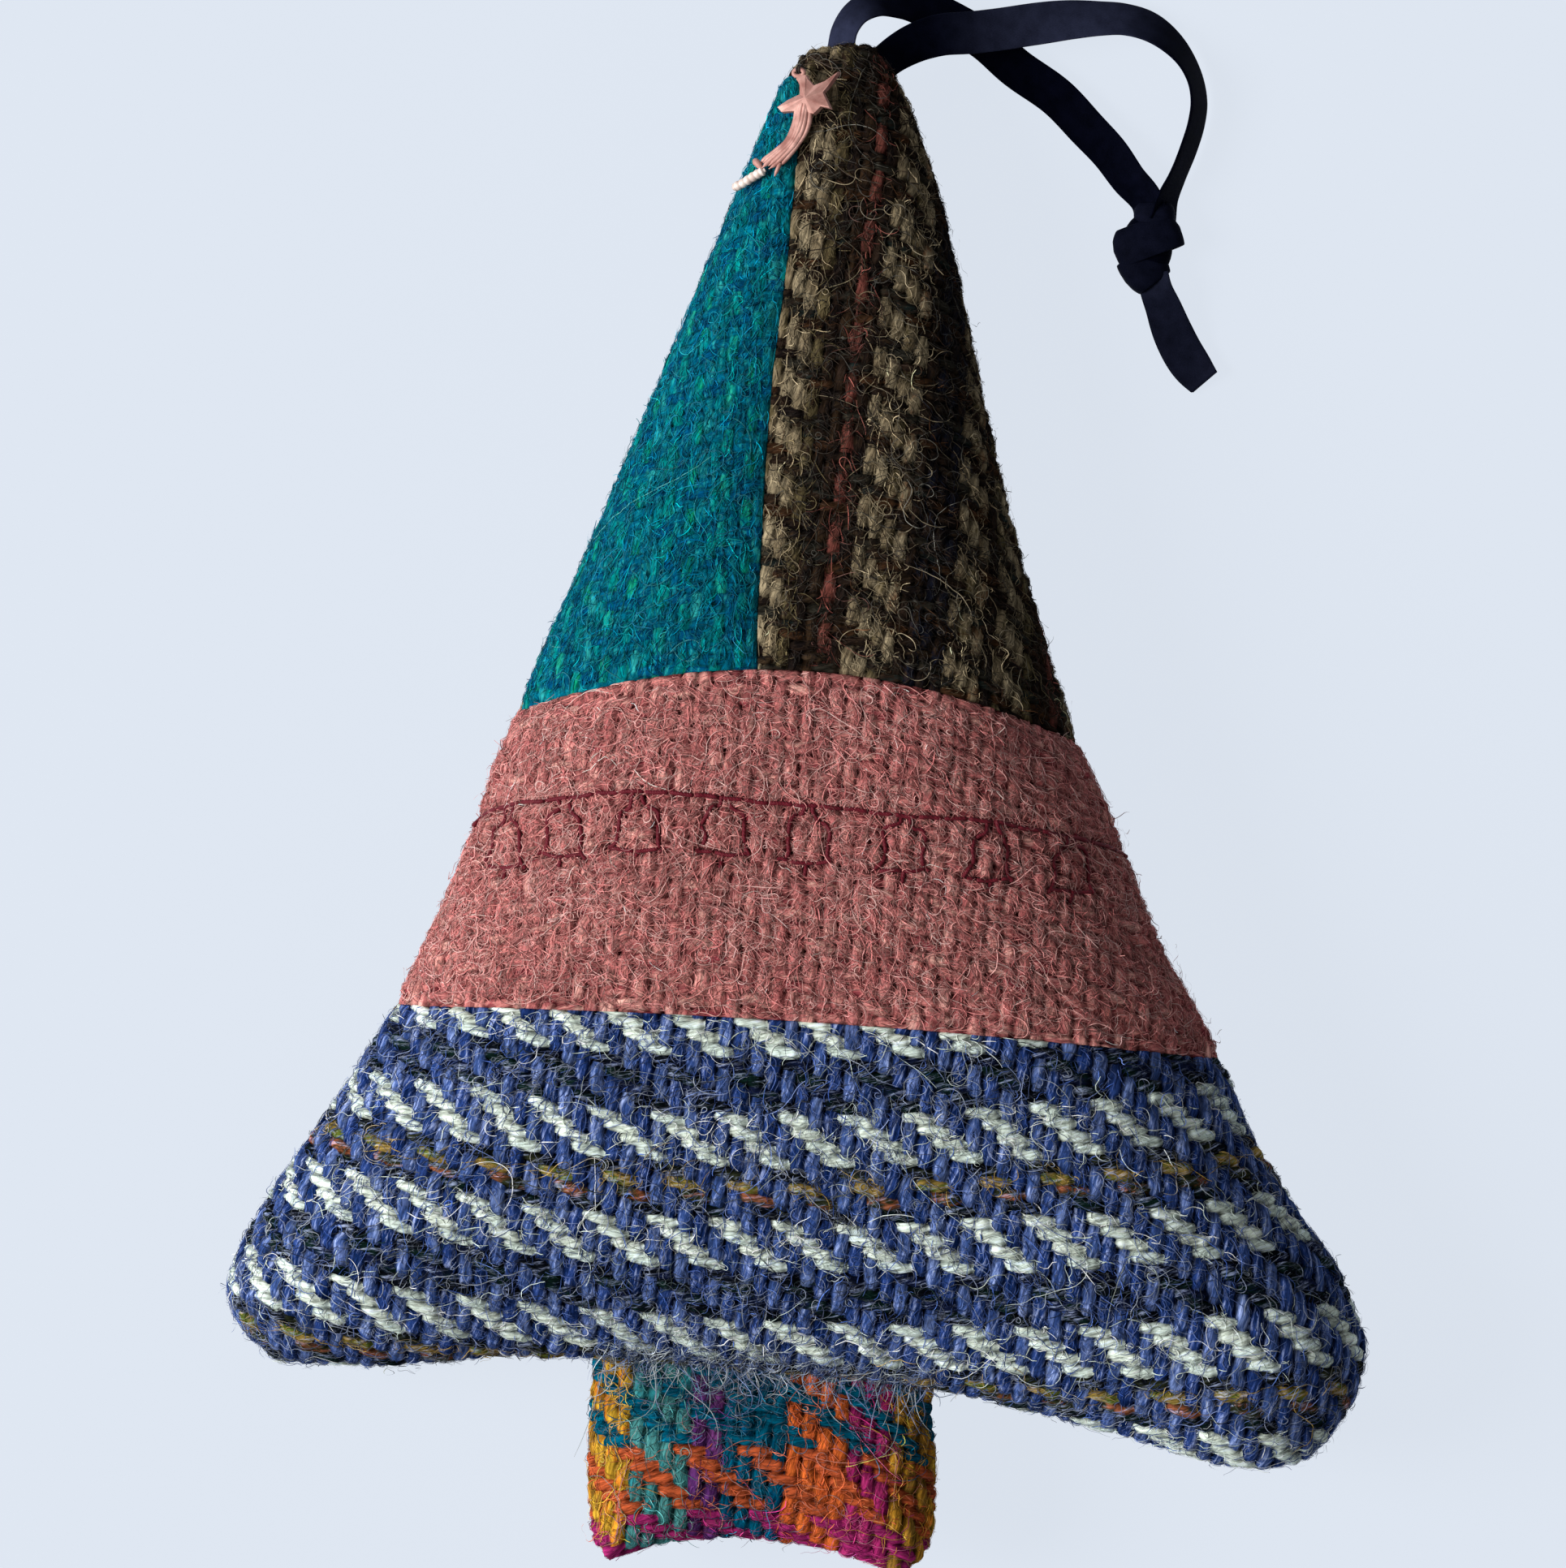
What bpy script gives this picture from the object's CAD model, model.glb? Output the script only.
"""A fabric Christmas tree ornament lying on a pale table, seen from straight above."""

import math

import bmesh
import bpy
import numpy as np
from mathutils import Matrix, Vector, kdtree


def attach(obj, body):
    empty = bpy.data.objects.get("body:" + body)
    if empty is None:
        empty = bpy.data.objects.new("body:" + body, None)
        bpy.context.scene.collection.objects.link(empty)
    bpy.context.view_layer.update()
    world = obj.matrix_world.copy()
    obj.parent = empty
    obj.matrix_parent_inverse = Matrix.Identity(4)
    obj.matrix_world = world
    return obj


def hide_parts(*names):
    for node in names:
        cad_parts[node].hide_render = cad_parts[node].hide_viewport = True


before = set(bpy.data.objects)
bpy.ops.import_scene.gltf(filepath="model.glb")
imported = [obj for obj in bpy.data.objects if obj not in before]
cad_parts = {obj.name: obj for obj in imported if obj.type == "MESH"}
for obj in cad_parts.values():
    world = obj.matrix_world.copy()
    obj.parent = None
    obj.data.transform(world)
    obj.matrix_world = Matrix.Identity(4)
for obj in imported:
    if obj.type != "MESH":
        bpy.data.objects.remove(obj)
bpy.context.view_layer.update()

# Camera
# The camera looks straight down from 0.8 m above the tree's seam, and is turned a little, because
# the ornament lies slightly askew in the picture.
camera_height = 0.8
view_width = 0.1205625
sensor_width = 36


def placed(name, data):
    """An object for its data, put in the scene."""
    piece = bpy.data.objects.new(name, data)
    bpy.context.scene.collection.objects.link(piece)
    return piece


def shaped(name, mesh):
    """An object from a bmesh, which is freed."""
    data = bpy.data.meshes.new(name)
    mesh.to_mesh(data)
    mesh.free()
    return placed(name, data)


camera_data = bpy.data.cameras.new("camera")
camera_data.sensor_fit = "HORIZONTAL"
camera_data.sensor_width = sensor_width
camera_data.lens = sensor_width * camera_height / view_width
camera = placed("camera", camera_data)
camera.location = (-0.003394, 0.001185, 0.0085 + camera_height)
camera.rotation_euler = (0, 0, math.radians(3.2))
bpy.context.scene.camera = camera
bpy.context.scene.view_settings.view_transform = "Standard"

# Ribbon loop
# A narrow black satin ribbon, knotted into a hanging loop. Both strands come out of the seam at
# the tip, cross once, and run into the knot, with two cut tails below it.
ribbon_width = 0.0032
ribbon_thickness = 0.0003
ribbon_reach = 0.0280
tip_middle = np.array((-0.0018467, 0.0585497, 0.0065032))
# Each place: shares of the reach from the tip, a share of the tip's height, and the bank in degrees.
short_strand_route = (
    (-0.010, -0.010, 1.00, -50), (-0.004, 0.031, 0.98, -50), (0.020, 0.078, 0.93, -48),
    (0.072, 0.116, 0.83, -42), (0.144, 0.127, 0.70, -32), (0.228, 0.113, 0.56, -18),
    (0.316, 0.078, 0.42, -12), (0.393, 0.037, 0.30, -6), (0.474, -0.025, 0.20, 0),
    (0.603, -0.107, 0.14, 12), (0.686, -0.186, 0.15, 18), (0.752, -0.250, 0.17, 24),
    (0.807, -0.319, 0.20, 32), (0.862, -0.380, 0.25, 40), (0.878, -0.440, 0.27, 40),
)
long_strand_route = (
    (0.085, -0.080, 0.98, 40), (0.115, -0.045, 0.975, 40), (0.184, 0.007, 0.93, 28),
    (0.263, 0.040, 0.83, 14), (0.344, 0.053, 0.71, 8), (0.429, 0.070, 0.58, 4), (0.521, 0.091, 0.46, 0),
    (0.622, 0.111, 0.37, -18), (0.703, 0.120, 0.33, -32), (0.769, 0.122, 0.31, -38),
    (0.839, 0.107, 0.30, -42), (0.904, 0.067, 0.30, -52), (0.953, 0.013, 0.30, -62),
    (0.982, -0.046, 0.30, -66), (0.992, -0.100, 0.30, -66), (0.988, -0.155, 0.30, -66),
    (0.971, -0.225, 0.30, -66), (0.941, -0.313, 0.30, -66), (0.920, -0.368, 0.29, -60),
    (0.909, -0.430, 0.27, -50),
)
upper_tail_route = (
    (0.891, -0.578, 0.34, 10), (0.900, -0.615, 0.33, 16), (0.926, -0.670, 0.23, 18), (0.955, -0.734, 0.17, 12),
    (0.992, -0.798, 0.13, 6), (1.024, -0.839, 0.12, 8), (1.052, -0.870, 0.13, 16),
)
lower_tail_route = (
    (0.890, -0.581, 0.19, 10), (0.899, -0.615, 0.16, 10), (0.925, -0.671, 0.11, 10), (0.953, -0.735, 0.08, 6),
    (0.990, -0.799, 0.06, 3), (1.022, -0.840, 0.05, 3), (1.049, -0.868, 0.05, 5),
)


def smooth_curve(table, places):
    """Values at places on a smooth curve through a table's points, held level past its ends."""
    at = np.array([row[0] for row in table], float)
    values = np.array([row[1] for row in table], float)
    slopes = np.gradient(values, at)
    places = np.clip(places, at[0], at[-1])
    index = np.clip(np.searchsorted(at, places) - 1, 0, len(at) - 2)
    span = at[index + 1] - at[index]
    share = (places - at[index]) / span
    bend = share * (1 - share) ** 2 * slopes[index] - share**2 * (1 - share) * slopes[index + 1]
    start = (1 + 2 * share) * (1 - share) ** 2 * values[index]
    return start + share**2 * (3 - 2 * share) * values[index + 1] + span * bend


def even_route(points, step):
    """Points at even steps on a smooth curve through a route's own points."""
    points = np.array(points, float)
    steps = np.linalg.norm(np.diff(points[:, :3], axis=0), axis=1)
    lengths = np.concatenate([[0], np.cumsum(steps)])
    count = max(2, round(lengths[-1] / step))
    places = np.linspace(0, lengths[-1], count + 1)
    return np.stack([smooth_curve(list(zip(lengths, column)), places) for column in points.T], axis=1)


def unit(vectors):
    return vectors / np.maximum(np.linalg.norm(vectors, axis=-1, keepdims=True), 1e-12)


def ribbon_run(route, step=0.0003):
    """Places along a ribbon, with its width direction and its face direction at each."""
    places = np.array([
        (x * ribbon_reach, y * ribbon_reach, tip_middle[2] * (z - 1), bank) for x, y, z, bank in route
    ])
    run = even_route(places, step)
    middle = run[:, :3] + tip_middle
    along = unit(np.gradient(middle, axis=0))
    level = unit(np.cross((0, 0, 1), along))
    up = np.cross(along, level)
    bank = np.radians(run[:, 3:])
    across = level * np.cos(bank) + up * np.sin(bank)
    return middle, across, np.cross(along, across)


def grid_piece(name, points, closed_round=False, share_maps=(), strips=False):
    """A mesh made from a grid whose rows and columns are laid at the given places. As strips, each
    pair of rows is a piece of its own."""
    rows, columns = points.shape[:2]
    mesh = bmesh.new()
    bmesh.ops.create_grid(mesh, x_segments=columns - 1, y_segments=rows - 1, size=1)
    if strips:
        between = [
            face for face in mesh.faces if int((face.calc_center_median().y + 1) / 2 * (rows - 1)) % 2
        ]
        bmesh.ops.delete(mesh, geom=between, context="FACES_ONLY")
        bmesh.ops.delete(mesh, geom=[edge for edge in mesh.edges if not edge.link_faces], context="EDGES")
    data = bpy.data.meshes.new(name)
    mesh.to_mesh(data)
    mesh.free()
    flat = np.empty(len(data.vertices) * 3, np.float32)
    data.vertices.foreach_get("co", flat)
    flat = flat.reshape(-1, 3)
    column = np.rint((flat[:, 0] + 1) / 2 * (columns - 1)).astype(int)
    row = np.rint((flat[:, 1] + 1) / 2 * (rows - 1)).astype(int)
    data.vertices.foreach_set("co", points[row, column].astype(np.float32).ravel())
    for map_name, values in share_maps:
        laid = values[row, column].astype(np.float32)
        if laid.shape[-1] == 4:
            tints = data.color_attributes.new(map_name, "FLOAT_COLOR", "POINT")
            tints.data.foreach_set("color", laid.ravel())
        elif values.ndim == 3:
            corner = np.empty(len(data.loops), np.int32)
            data.loops.foreach_get("vertex_index", corner)
            data.uv_layers.new(name=map_name).uv.foreach_set("vector", laid[corner].ravel())
        else:
            data.attributes.new(map_name, "FLOAT", "POINT").data.foreach_set("value", laid)
    if closed_round:
        mesh = bmesh.new()
        mesh.from_mesh(data)
        bmesh.ops.remove_doubles(mesh, verts=mesh.verts[:], dist=1e-7)
        bmesh.ops.holes_fill(mesh, edges=[edge for edge in mesh.edges if edge.is_boundary], sides=0)
        bmesh.ops.recalc_face_normals(mesh, faces=mesh.faces[:])
        mesh.to_mesh(data)
        mesh.free()
    data.shade_smooth()
    data.update()
    return placed(name, data)


def add_node(tree, kind, inputs=None, **settings):
    """A shader node with its settings, and a link or a value for each named input."""
    node = tree.nodes.new("ShaderNode" + kind)
    for key, value in settings.items():
        setattr(node, key, value)
    for key, value in (inputs or {}).items():
        if isinstance(value, bpy.types.NodeSocket):
            tree.links.new(value, node.inputs[key])
        else:
            node.inputs[key].default_value = value
    return node


def sum_of(tree, operation, *values):
    return add_node(tree, "Math", dict(enumerate(values)), operation=operation).outputs[0]


def times(tree, first, second):
    return sum_of(tree, "MULTIPLY", first, second)


def blended(tree, share, first, second, blend_type="MIX"):
    """Two colours mixed by a share."""
    node = add_node(tree, "Mix", {0: share, 6: first, 7: second}, data_type="RGBA", blend_type=blend_type)
    return node.outputs[2]


def remapped(tree, value, low, high, new_low=0.0, new_high=1.0):
    inputs = {"Value": value, "From Min": low, "From Max": high, "To Min": new_low, "To Max": new_high}
    return add_node(tree, "MapRange", inputs).outputs[0]


def colour(red, green, blue):
    """A screen colour of 0 to 255 as the shader wants it."""
    parts = [value / 255 for value in (red, green, blue)]
    return (*[part / 12.92 if part < 0.04045 else ((part + 0.055) / 1.055) ** 2.4 for part in parts], 1)


def colours(*tints):
    return [colour(*tint) for tint in tints]


def bumped(tree, shader, height, strength, distance):
    """A bump from a height, on the material's own normal."""
    bump = add_node(tree, "Bump", {"Height": height, "Strength": strength, "Distance": distance})
    tree.links.new(bump.outputs[0], shader.inputs["Normal"])


def new_finish(name, roughness, **constants):
    """A node material whose constant sockets are set on its shader."""
    finish = bpy.data.materials.new(name)
    finish.use_nodes = True
    shader = finish.node_tree.nodes["Principled BSDF"]
    shader.inputs["Roughness"].default_value = roughness
    for key, value in constants.items():
        shader.inputs[key.replace("_", " ")].default_value = value
    return finish, finish.node_tree, shader


black_satin, tree, shader = new_finish("black_ribbon_satin", 0.6, Specular_IOR_Level=0.01)
run_map = add_node(tree, "UVMap", uv_map="run").outputs[0]
run_parts = add_node(tree, "SeparateXYZ", {0: run_map})
filaments = add_node(tree, "CombineXYZ", {
    0: times(tree, run_parts.outputs[0], 0.25), 1: run_parts.outputs[1],
})
fine = add_node(tree, "TexNoise", {"Vector": filaments.outputs[0], "Scale": 9.0, "Detail": 4.0})
ribs = add_node(tree, "TexWave", {"Vector": run_map, "Scale": 1.6, "Distortion": 0.4}, bands_direction="Y")
broad = add_node(tree, "TexNoise", {"Vector": run_map, "Scale": 0.35, "Detail": 2.0})
worn = remapped(tree, sum_of(tree, "ADD", fine.outputs[0], broad.outputs[0]), 0.7, 1.35)
cloth_black = blended(tree, worn, colour(1, 2, 9), colour(8, 10, 26))
# Where it is rubbed, the satin's face has gone a dull navy.
rubbed = add_node(tree, "Attribute", attribute_name="rubbed").outputs[2]
rubbed = times(tree, rubbed, remapped(tree, worn, 0.0, 1.0, 0.55, 1.15))
cloth_black = blended(tree, rubbed, cloth_black, colour(48, 52, 74))
tree.links.new(cloth_black, shader.inputs["Base Color"])
raised = sum_of(
    tree, "ADD", times(tree, fine.outputs[0], 0.6), times(tree, ribs.outputs[1], 0.4),
)
bumped(tree, shader, raised, 0.5, 0.00003)


def ribbon_section(middle, across, face, width, cups, swing=1.0):
    """The closed surface of a flat ribbon whose woven edges are a little thicker than its middle. The
    cups say how far each edge bends down, and the swing how wide the ribbon lies at each place."""
    turn = np.linspace(0, 2 * np.pi, 29)
    wide = np.sign(np.cos(turn)) * np.abs(np.cos(turn)) ** 0.45
    thick = np.sign(np.sin(turn)) * np.abs(np.sin(turn)) ** 0.6 * ribbon_thickness / 2
    height = thick * (0.72 + 0.28 * wide**6) - np.where(wide > 0, cups[0], cups[1]) * wide**2
    spread = np.broadcast_to(swing, len(middle))[:, None] * wide * width / 2
    points = middle[:, None] + across[:, None] * spread[..., None] + face[:, None] * height[:, None]
    lengths = np.concatenate([[0], np.cumsum(np.linalg.norm(np.diff(middle, axis=0), axis=1))])
    run = np.zeros((*points.shape[:2], 2))
    run[..., 0] = lengths[:, None] / ribbon_width * 8
    run[..., 1] = wide * 4
    return points, run, float(lengths[-1])


def ribbon_piece(name, points, run, rubbed):
    rubbed = np.broadcast_to(np.reshape(rubbed, (-1, 1)), points.shape[:2])
    piece = grid_piece(name, points, closed_round=True, share_maps=(("run", run), ("rubbed", rubbed)))
    piece.data.materials.append(black_satin)
    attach(piece, "hanger")
    return piece


def ribbon_strip(name, route, cad_node, wide, rubbed):
    """A ribbon along a route. Where it is gathered in the knot, it is narrower."""
    middle, across, face = ribbon_run(route)
    swing = smooth_curve(wide, np.linspace(0, 1, len(middle)))
    points, run, length = ribbon_section(middle, across, face, ribbon_width, (0.00004, 0.00004), swing)
    piece = ribbon_piece(name, points, run, smooth_curve(rubbed, np.linspace(0, 1, len(middle))))
    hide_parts(cad_node)
    return piece, middle, length


short_strand, short_path, short_length = ribbon_strip(
    "short_ribbon_strand", short_strand_route, "ribbon_short_strand", ((0.0, 0.98), (1.0, 0.98)),
    ((0.0, 0.9), (0.06, 0.7), (0.16, 0.0), (1.0, 0.0)),
)
long_strand, long_path, long_length = ribbon_strip(
    "long_ribbon_strand", long_strand_route, "ribbon_long_strand", ((0.0, 1.03), (1.0, 1.03)),
    ((0.0, 0.0), (0.16, 0.1), (0.28, 0.7), (0.40, 0.8), (0.52, 0.6), (0.62, 0.1), (1.0, 0.0)),
)
gathered = ((0.0, 0.72), (0.2, 0.82), (0.4, 0.92), (0.6, 0.97), (0.85, 0.94), (1.0, 0.80))
lower_tail, _, _ = ribbon_strip(
    "lower_ribbon_tail", lower_tail_route, "ribbon_tail_lower", gathered, ((0.0, 0.2), (1.0, 0.3)),
)
upper_tail, _, _ = ribbon_strip(
    "upper_ribbon_tail", upper_tail_route, "ribbon_tail_upper", gathered, ((0.0, 0.5), (0.3, 0.3), (1.0, 0.35)),
)

# The knot: the doubled ribbon goes round itself once as a wide collar and once more below it, and
# its end comes out over the lower turn as the tails.
knot_turns = (
    # Place as shares of the reach, height in metres, slant in degrees, half length and half height
    # of the turn, width, and how far its upper and lower edges bend in.
    ((0.8695, -0.4830), 0.00172, 24, 0.00264, 0.00150, 0.0029, (0.00075, 0.00012)),
    ((0.8645, -0.5650), 0.00150, 40, 0.00172, 0.00128, 0.0029, (0.00020, 0.00035)),
    ((0.8860, -0.4100), 0.00165, 4, 0.00150, 0.00112, 0.0016, (0.00040, 0.00002)),
)


def knot_turn(name, place, height, slant, half_length, half_height, width, cups):
    """One turn of the ribbon round the knot, folded sharply at its two ends."""
    turn = np.linspace(0, 2 * np.pi, 121)[:-1]
    along = np.sign(np.cos(turn)) * np.abs(np.cos(turn)) ** 0.9
    rise = np.sign(np.sin(turn)) * np.abs(np.sin(turn)) ** 0.75
    slack = 1 + 0.03 * np.sin(3 * turn + slant)
    slant = math.radians(slant)
    run = np.array((math.cos(slant), math.sin(slant), 0))
    axis = np.array((-math.sin(slant), math.cos(slant), 0))
    centre = tip_middle + (place[0] * ribbon_reach, place[1] * ribbon_reach, height - tip_middle[2])
    middle = centre + run * (half_length * along * slack)[:, None]
    middle = middle + (0, 0, 1) * (half_height * rise * slack)[:, None]
    ahead = unit(np.roll(middle, -1, axis=0) - np.roll(middle, 1, axis=0))
    face = np.cross(axis, ahead)
    parts = (middle, np.broadcast_to(axis, middle.shape), face)
    closed = [np.concatenate([part, part[:1]]) for part in parts]
    points, laid, _ = ribbon_section(*closed, width, cups)
    points[..., 2] = np.maximum(points[..., 2], 0.00002)
    return ribbon_piece(name, points, laid, 0.12)


pieces = [knot_turn(f"knot_turn_{number}", *turn) for number, turn in enumerate(knot_turns)]
knot_middle = tip_middle + (0.869 * ribbon_reach, -0.505 * ribbon_reach, 0.00165 - tip_middle[2])
core = bmesh.new()
bmesh.ops.create_icosphere(core, subdivisions=4, radius=1)
bmesh.ops.scale(core, vec=(0.00200, 0.00270, 0.00128), verts=core.verts[:])
bmesh.ops.translate(core, vec=tuple(map(float, knot_middle)), verts=core.verts[:])
knot_core = shaped("knot_core", core)
knot_core.data.uv_layers.new(name="run")
knot_core.data.shade_smooth()
knot_core.data.materials.append(black_satin)
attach(knot_core, "hanger")
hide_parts("ribbon_knot")
pieces.append(knot_core)


# Blue tweed across the wings
# The widest cloth: a thick two-and-two twill of blue ends, whose picks change by groups of four
# between pale celadon and near black. It is sewn to the pink cloth above and the back cloth.
tree_place = np.array((-0.002343, -0.0441591))
body_height = 0.1028
left_wing_reach = 0.0418
right_wing_reach = 0.0465
seam_height = 0.0085
tip_droop = 0.0020
front_depth = 0.0130
back_depth = 0.0090
side_roundness = 0.0200
crown_arch = 0.0040
hem_rise = 0.0033
touch_gap = 0.0003
seam_groove = 0.0006
groove_width = 0.0012
edge_margin = 0.00005
table_clearance = 0.00002
outline_shares = (
    (0.00, 0.900, -0.012, 0.904, -0.043), (0.03, 0.972, 0.0165, 0.974, -0.001),
    (0.06, 0.996, 0.042, 0.992, 0.040), (0.10, 0.968, 0.081, 0.962, 0.085),
    (0.16, 0.882, 0.145, 0.874, 0.142), (0.22, 0.791, 0.204, 0.786, 0.199),
    (0.28, 0.717, 0.262, 0.727, 0.256), (0.36, 0.635, 0.343, 0.613, 0.341),
    (0.43, 0.578, 0.413, 0.536, 0.418), (0.50, 0.523, 0.487, 0.462, 0.486),
    (0.62, 0.417, 0.604, 0.363, 0.606), (0.74, 0.312, 0.723, 0.283, 0.725),
    (0.86, 0.208, 0.845, 0.212, 0.847), (0.94, 0.137, 0.929, 0.154, 0.925),
    (0.98, 0.099, 0.970, 0.103, 0.975), (1.00, 0.070, 0.990, 0.060, 0.998),
)
hem_shares = (
    (-1.00, 0.0), (-0.80, 0.12), (-0.54, 0.66), (-0.39, 0.78), (-0.06, 0.86), (0.29, 0.80),
    (0.47, 0.50), (0.69, 0.06), (0.83, -0.30), (0.94, -0.24), (1.00, 0.0),
)
arch_shares = ((0.0, 0.0), (0.28, 0.2), (0.50, 1.0), (0.70, 0.5), (1.00, 0.08))
padding_shares = (
    (-0.05, 0.93), (0.10, 0.96), (0.27, 1.0), (0.49, 0.90), (0.60, 0.77), (0.72, 0.63),
    (0.85, 0.47), (0.93, 0.37), (0.975, 0.30), (1.02, 0.24),
)
crown_seam_shares = (
    (0.48, -0.14), (0.50, -0.15), (0.62, -0.20), (0.74, -0.28), (0.86, -0.38), (0.93, -0.52),
    (0.955, -0.60), (0.972, -0.70), (0.988, -1.0), (1.00, -1.0),
)
waist_row = 0.28
shoulder_row = 0.50
wing_row = 0.06
left_widths, left_heights, right_widths, right_heights = [
    [(row[0], row[number]) for row in outline_shares] for number in (1, 2, 3, 4)
]


def body_plan(across, row):
    """Places on the seam plane for shares across (-1 left, 1 right) and row shares (0 hem, 1 tip)."""
    across, row = np.broadcast_arrays(np.asarray(across, float), np.asarray(row, float))
    left_x = -left_wing_reach * smooth_curve(left_widths, row)
    right_x = right_wing_reach * smooth_curve(right_widths, row)
    left_y = body_height * smooth_curve(left_heights, row)
    right_y = body_height * smooth_curve(right_heights, row)
    mix = (across + 1) / 2
    y = left_y + (right_y - left_y) * mix + crown_arch * smooth_curve(arch_shares, row) * (1 - across**2)
    below = np.clip(1 - row / waist_row, 0, None) ** 2
    y = y + hem_rise * smooth_curve(hem_shares, across) * below
    return np.stack([left_x + (right_x - left_x) * mix, y], axis=-1)


side_steps = np.linspace(0, 1, 81)
body_sides = (
    body_plan(-1, side_steps), body_plan(1, side_steps),
    body_plan(2 * side_steps - 1, 0), body_plan(2 * side_steps - 1, 1),
)
width_by_height = [((row[2] + row[4]) / 2, row[1], row[3]) for row in outline_shares if row[0] >= wing_row]


def body_reach(places):
    """How far in from the edge the padding is full."""
    height = places[:, 1] / body_height
    width = left_wing_reach * smooth_curve([row[:2] for row in width_by_height], height)
    width = width + right_wing_reach * smooth_curve([(row[0], row[2]) for row in width_by_height], height)
    return np.minimum(side_roundness, 0.72 * width / 2)


def edge_distance(places, sides):
    """The blended distance to the sewn edges, and the direction in which it grows. Close to an edge,
    the way in is square to it."""
    square_band, corner_reach = 0.00008, 0.0002
    distances, directions = [], []
    for part in np.array_split(places, max(1, len(places) // 20000)):
        total, direction = 0, 0
        for turn, side in zip((1, -1, -1, 1), sides):
            start, run = side[:-1], np.diff(side, axis=0)
            away = part[:, None] - start
            along = np.clip((away * run).sum(axis=2) / (run**2).sum(axis=1), 0, 1)
            away = away - run * along[..., None]
            gaps = np.hypot(away[..., 0], away[..., 1])
            best = gaps.argmin(axis=1)
            pick = np.arange(len(part))
            inward = turn * unit(np.stack([run[best, 1], -run[best, 0]], axis=1))
            depth = (away[pick, best] * inward).sum(axis=1, keepdims=True)
            near = depth < square_band
            gap = gaps[pick, best][:, None]
            distance = np.where(near, np.maximum(depth, 1e-6), np.maximum(gap, 1e-8))
            way = np.where(near & (gap < corner_reach), inward, away[pick, best] / distance)
            distance = np.where(near & (gap >= corner_reach), gap, distance)
            way = unit(way)
            total = total + distance**-3.0
            direction = direction + way * distance**-4.0
        blend = total ** (-1 / 3)
        distances.append(blend[:, 0])
        directions.append(direction * blend**4)
    return np.concatenate(distances), np.concatenate(directions)


def seam_level(places):
    """The height of the sewn edge, which droops towards the tip."""
    return seam_height - tip_droop * np.clip(places[:, 1] / body_height, 0, None) ** 2


def padded_face(places, sides, reach, full, side, level, seam_lines=()):
    """Points and normals of a padded form's front (side 1) or back (side -1) over plan places."""
    distance, direction = edge_distance(places, sides)
    left_over = np.clip(1 - distance / reach, 0, 1)
    share = np.sqrt(1 - left_over**2)
    normals = unit(np.stack([
        -full * left_over * direction[:, 0], -full * left_over * direction[:, 1], side * reach * share,
    ], axis=1))
    nearest = np.hypot(distance, full * share)
    for away in seam_lines:
        nearest = np.minimum(nearest, np.abs(away))
    points = np.concatenate([places, (level + side * (full * share + touch_gap / 2))[:, None]], axis=1)
    points = points - normals * (seam_groove * np.exp(-nearest / groove_width))[:, None]
    return points, normals


def body_face(across, row, side=1):
    """The tree's cloth face in the world, at shares across and row shares."""
    across = np.clip(across, edge_margin - 1, 1 - edge_margin)
    row = np.clip(row, 0.0001, 0.9999)
    places = body_plan(across, row)
    full = front_depth if side == 1 else back_depth
    full = full * smooth_curve(padding_shares, places[:, 1] / body_height)
    seams = []
    if side == 1:
        seams = [places[:, 1] - body_plan(across, seam)[:, 1] for seam in (waist_row, shoulder_row)]
        line = body_plan(smooth_curve(crown_seam_shares, row), row)[:, 0]
        seams.append(np.where(row > shoulder_row - 0.01, places[:, 0] - line, 1.0))
    points, normals = padded_face(places, body_sides, body_reach(places), full, side, seam_level(places), seams)
    points[:, :2] += tree_place
    if side == -1:
        points[:, 2] = np.maximum(points[:, 2], 0)
    return points, normals


def arc(points, keep, axis):
    """Lengths along a grid's rows or columns, counting only the kept directions."""
    steps = np.linalg.norm(np.diff(points[..., keep], axis=axis), axis=-1)
    zero = np.zeros_like(np.take(steps, [0], axis=axis))
    return np.cumsum(np.concatenate([zero, steps], axis=axis), axis=axis)


def cloth_lengths(points):
    """Lengths down from a cloth's top row, and along its rows."""
    return arc(points[::-1], [1, 2], 0)[::-1], arc(points, [0, 2], 1)


def counted_from(along, points, x):
    """Lengths along the rows, counted from the upright line at x."""
    start = [np.interp(x, row, length) for row, length in zip(points[..., 0], along)]
    return along - np.stack(start)[:, None]


def cloth_grid(face, low, high, left, right, spacing):
    """Even rows and columns over a cloth's face: points, normals, and lengths along and down it."""
    ease = (1 - np.cos(np.linspace(0, np.pi, 401))) / 2
    fine = low + (high - low) * ease
    line, _ = face((left(fine) + right(fine)) / 2, fine)
    lengths = arc(line, [0, 1, 2], 0)
    rows = np.interp(np.linspace(0, lengths[-1], round(lengths[-1] / spacing) + 1), lengths, fine)
    ease = (1 - np.cos(np.linspace(0, np.pi, 241))) / 2
    wide = left(rows)[:, None] + (right(rows) - left(rows))[:, None] * ease
    points, _ = face(wide.ravel(), np.repeat(rows, len(ease)))
    lengths = arc(points.reshape(*wide.shape, 3), [0, 1, 2], 1)
    columns = round(lengths[:, -1].max() / spacing) + 1
    across = np.stack([
        np.interp(np.linspace(0, length[-1], columns), length, places) for length, places in zip(lengths, wide)
    ])
    points, normals = face(across.ravel(), np.repeat(rows, columns))
    return points.reshape(*across.shape, 3), normals.reshape(*across.shape, 3)


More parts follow.
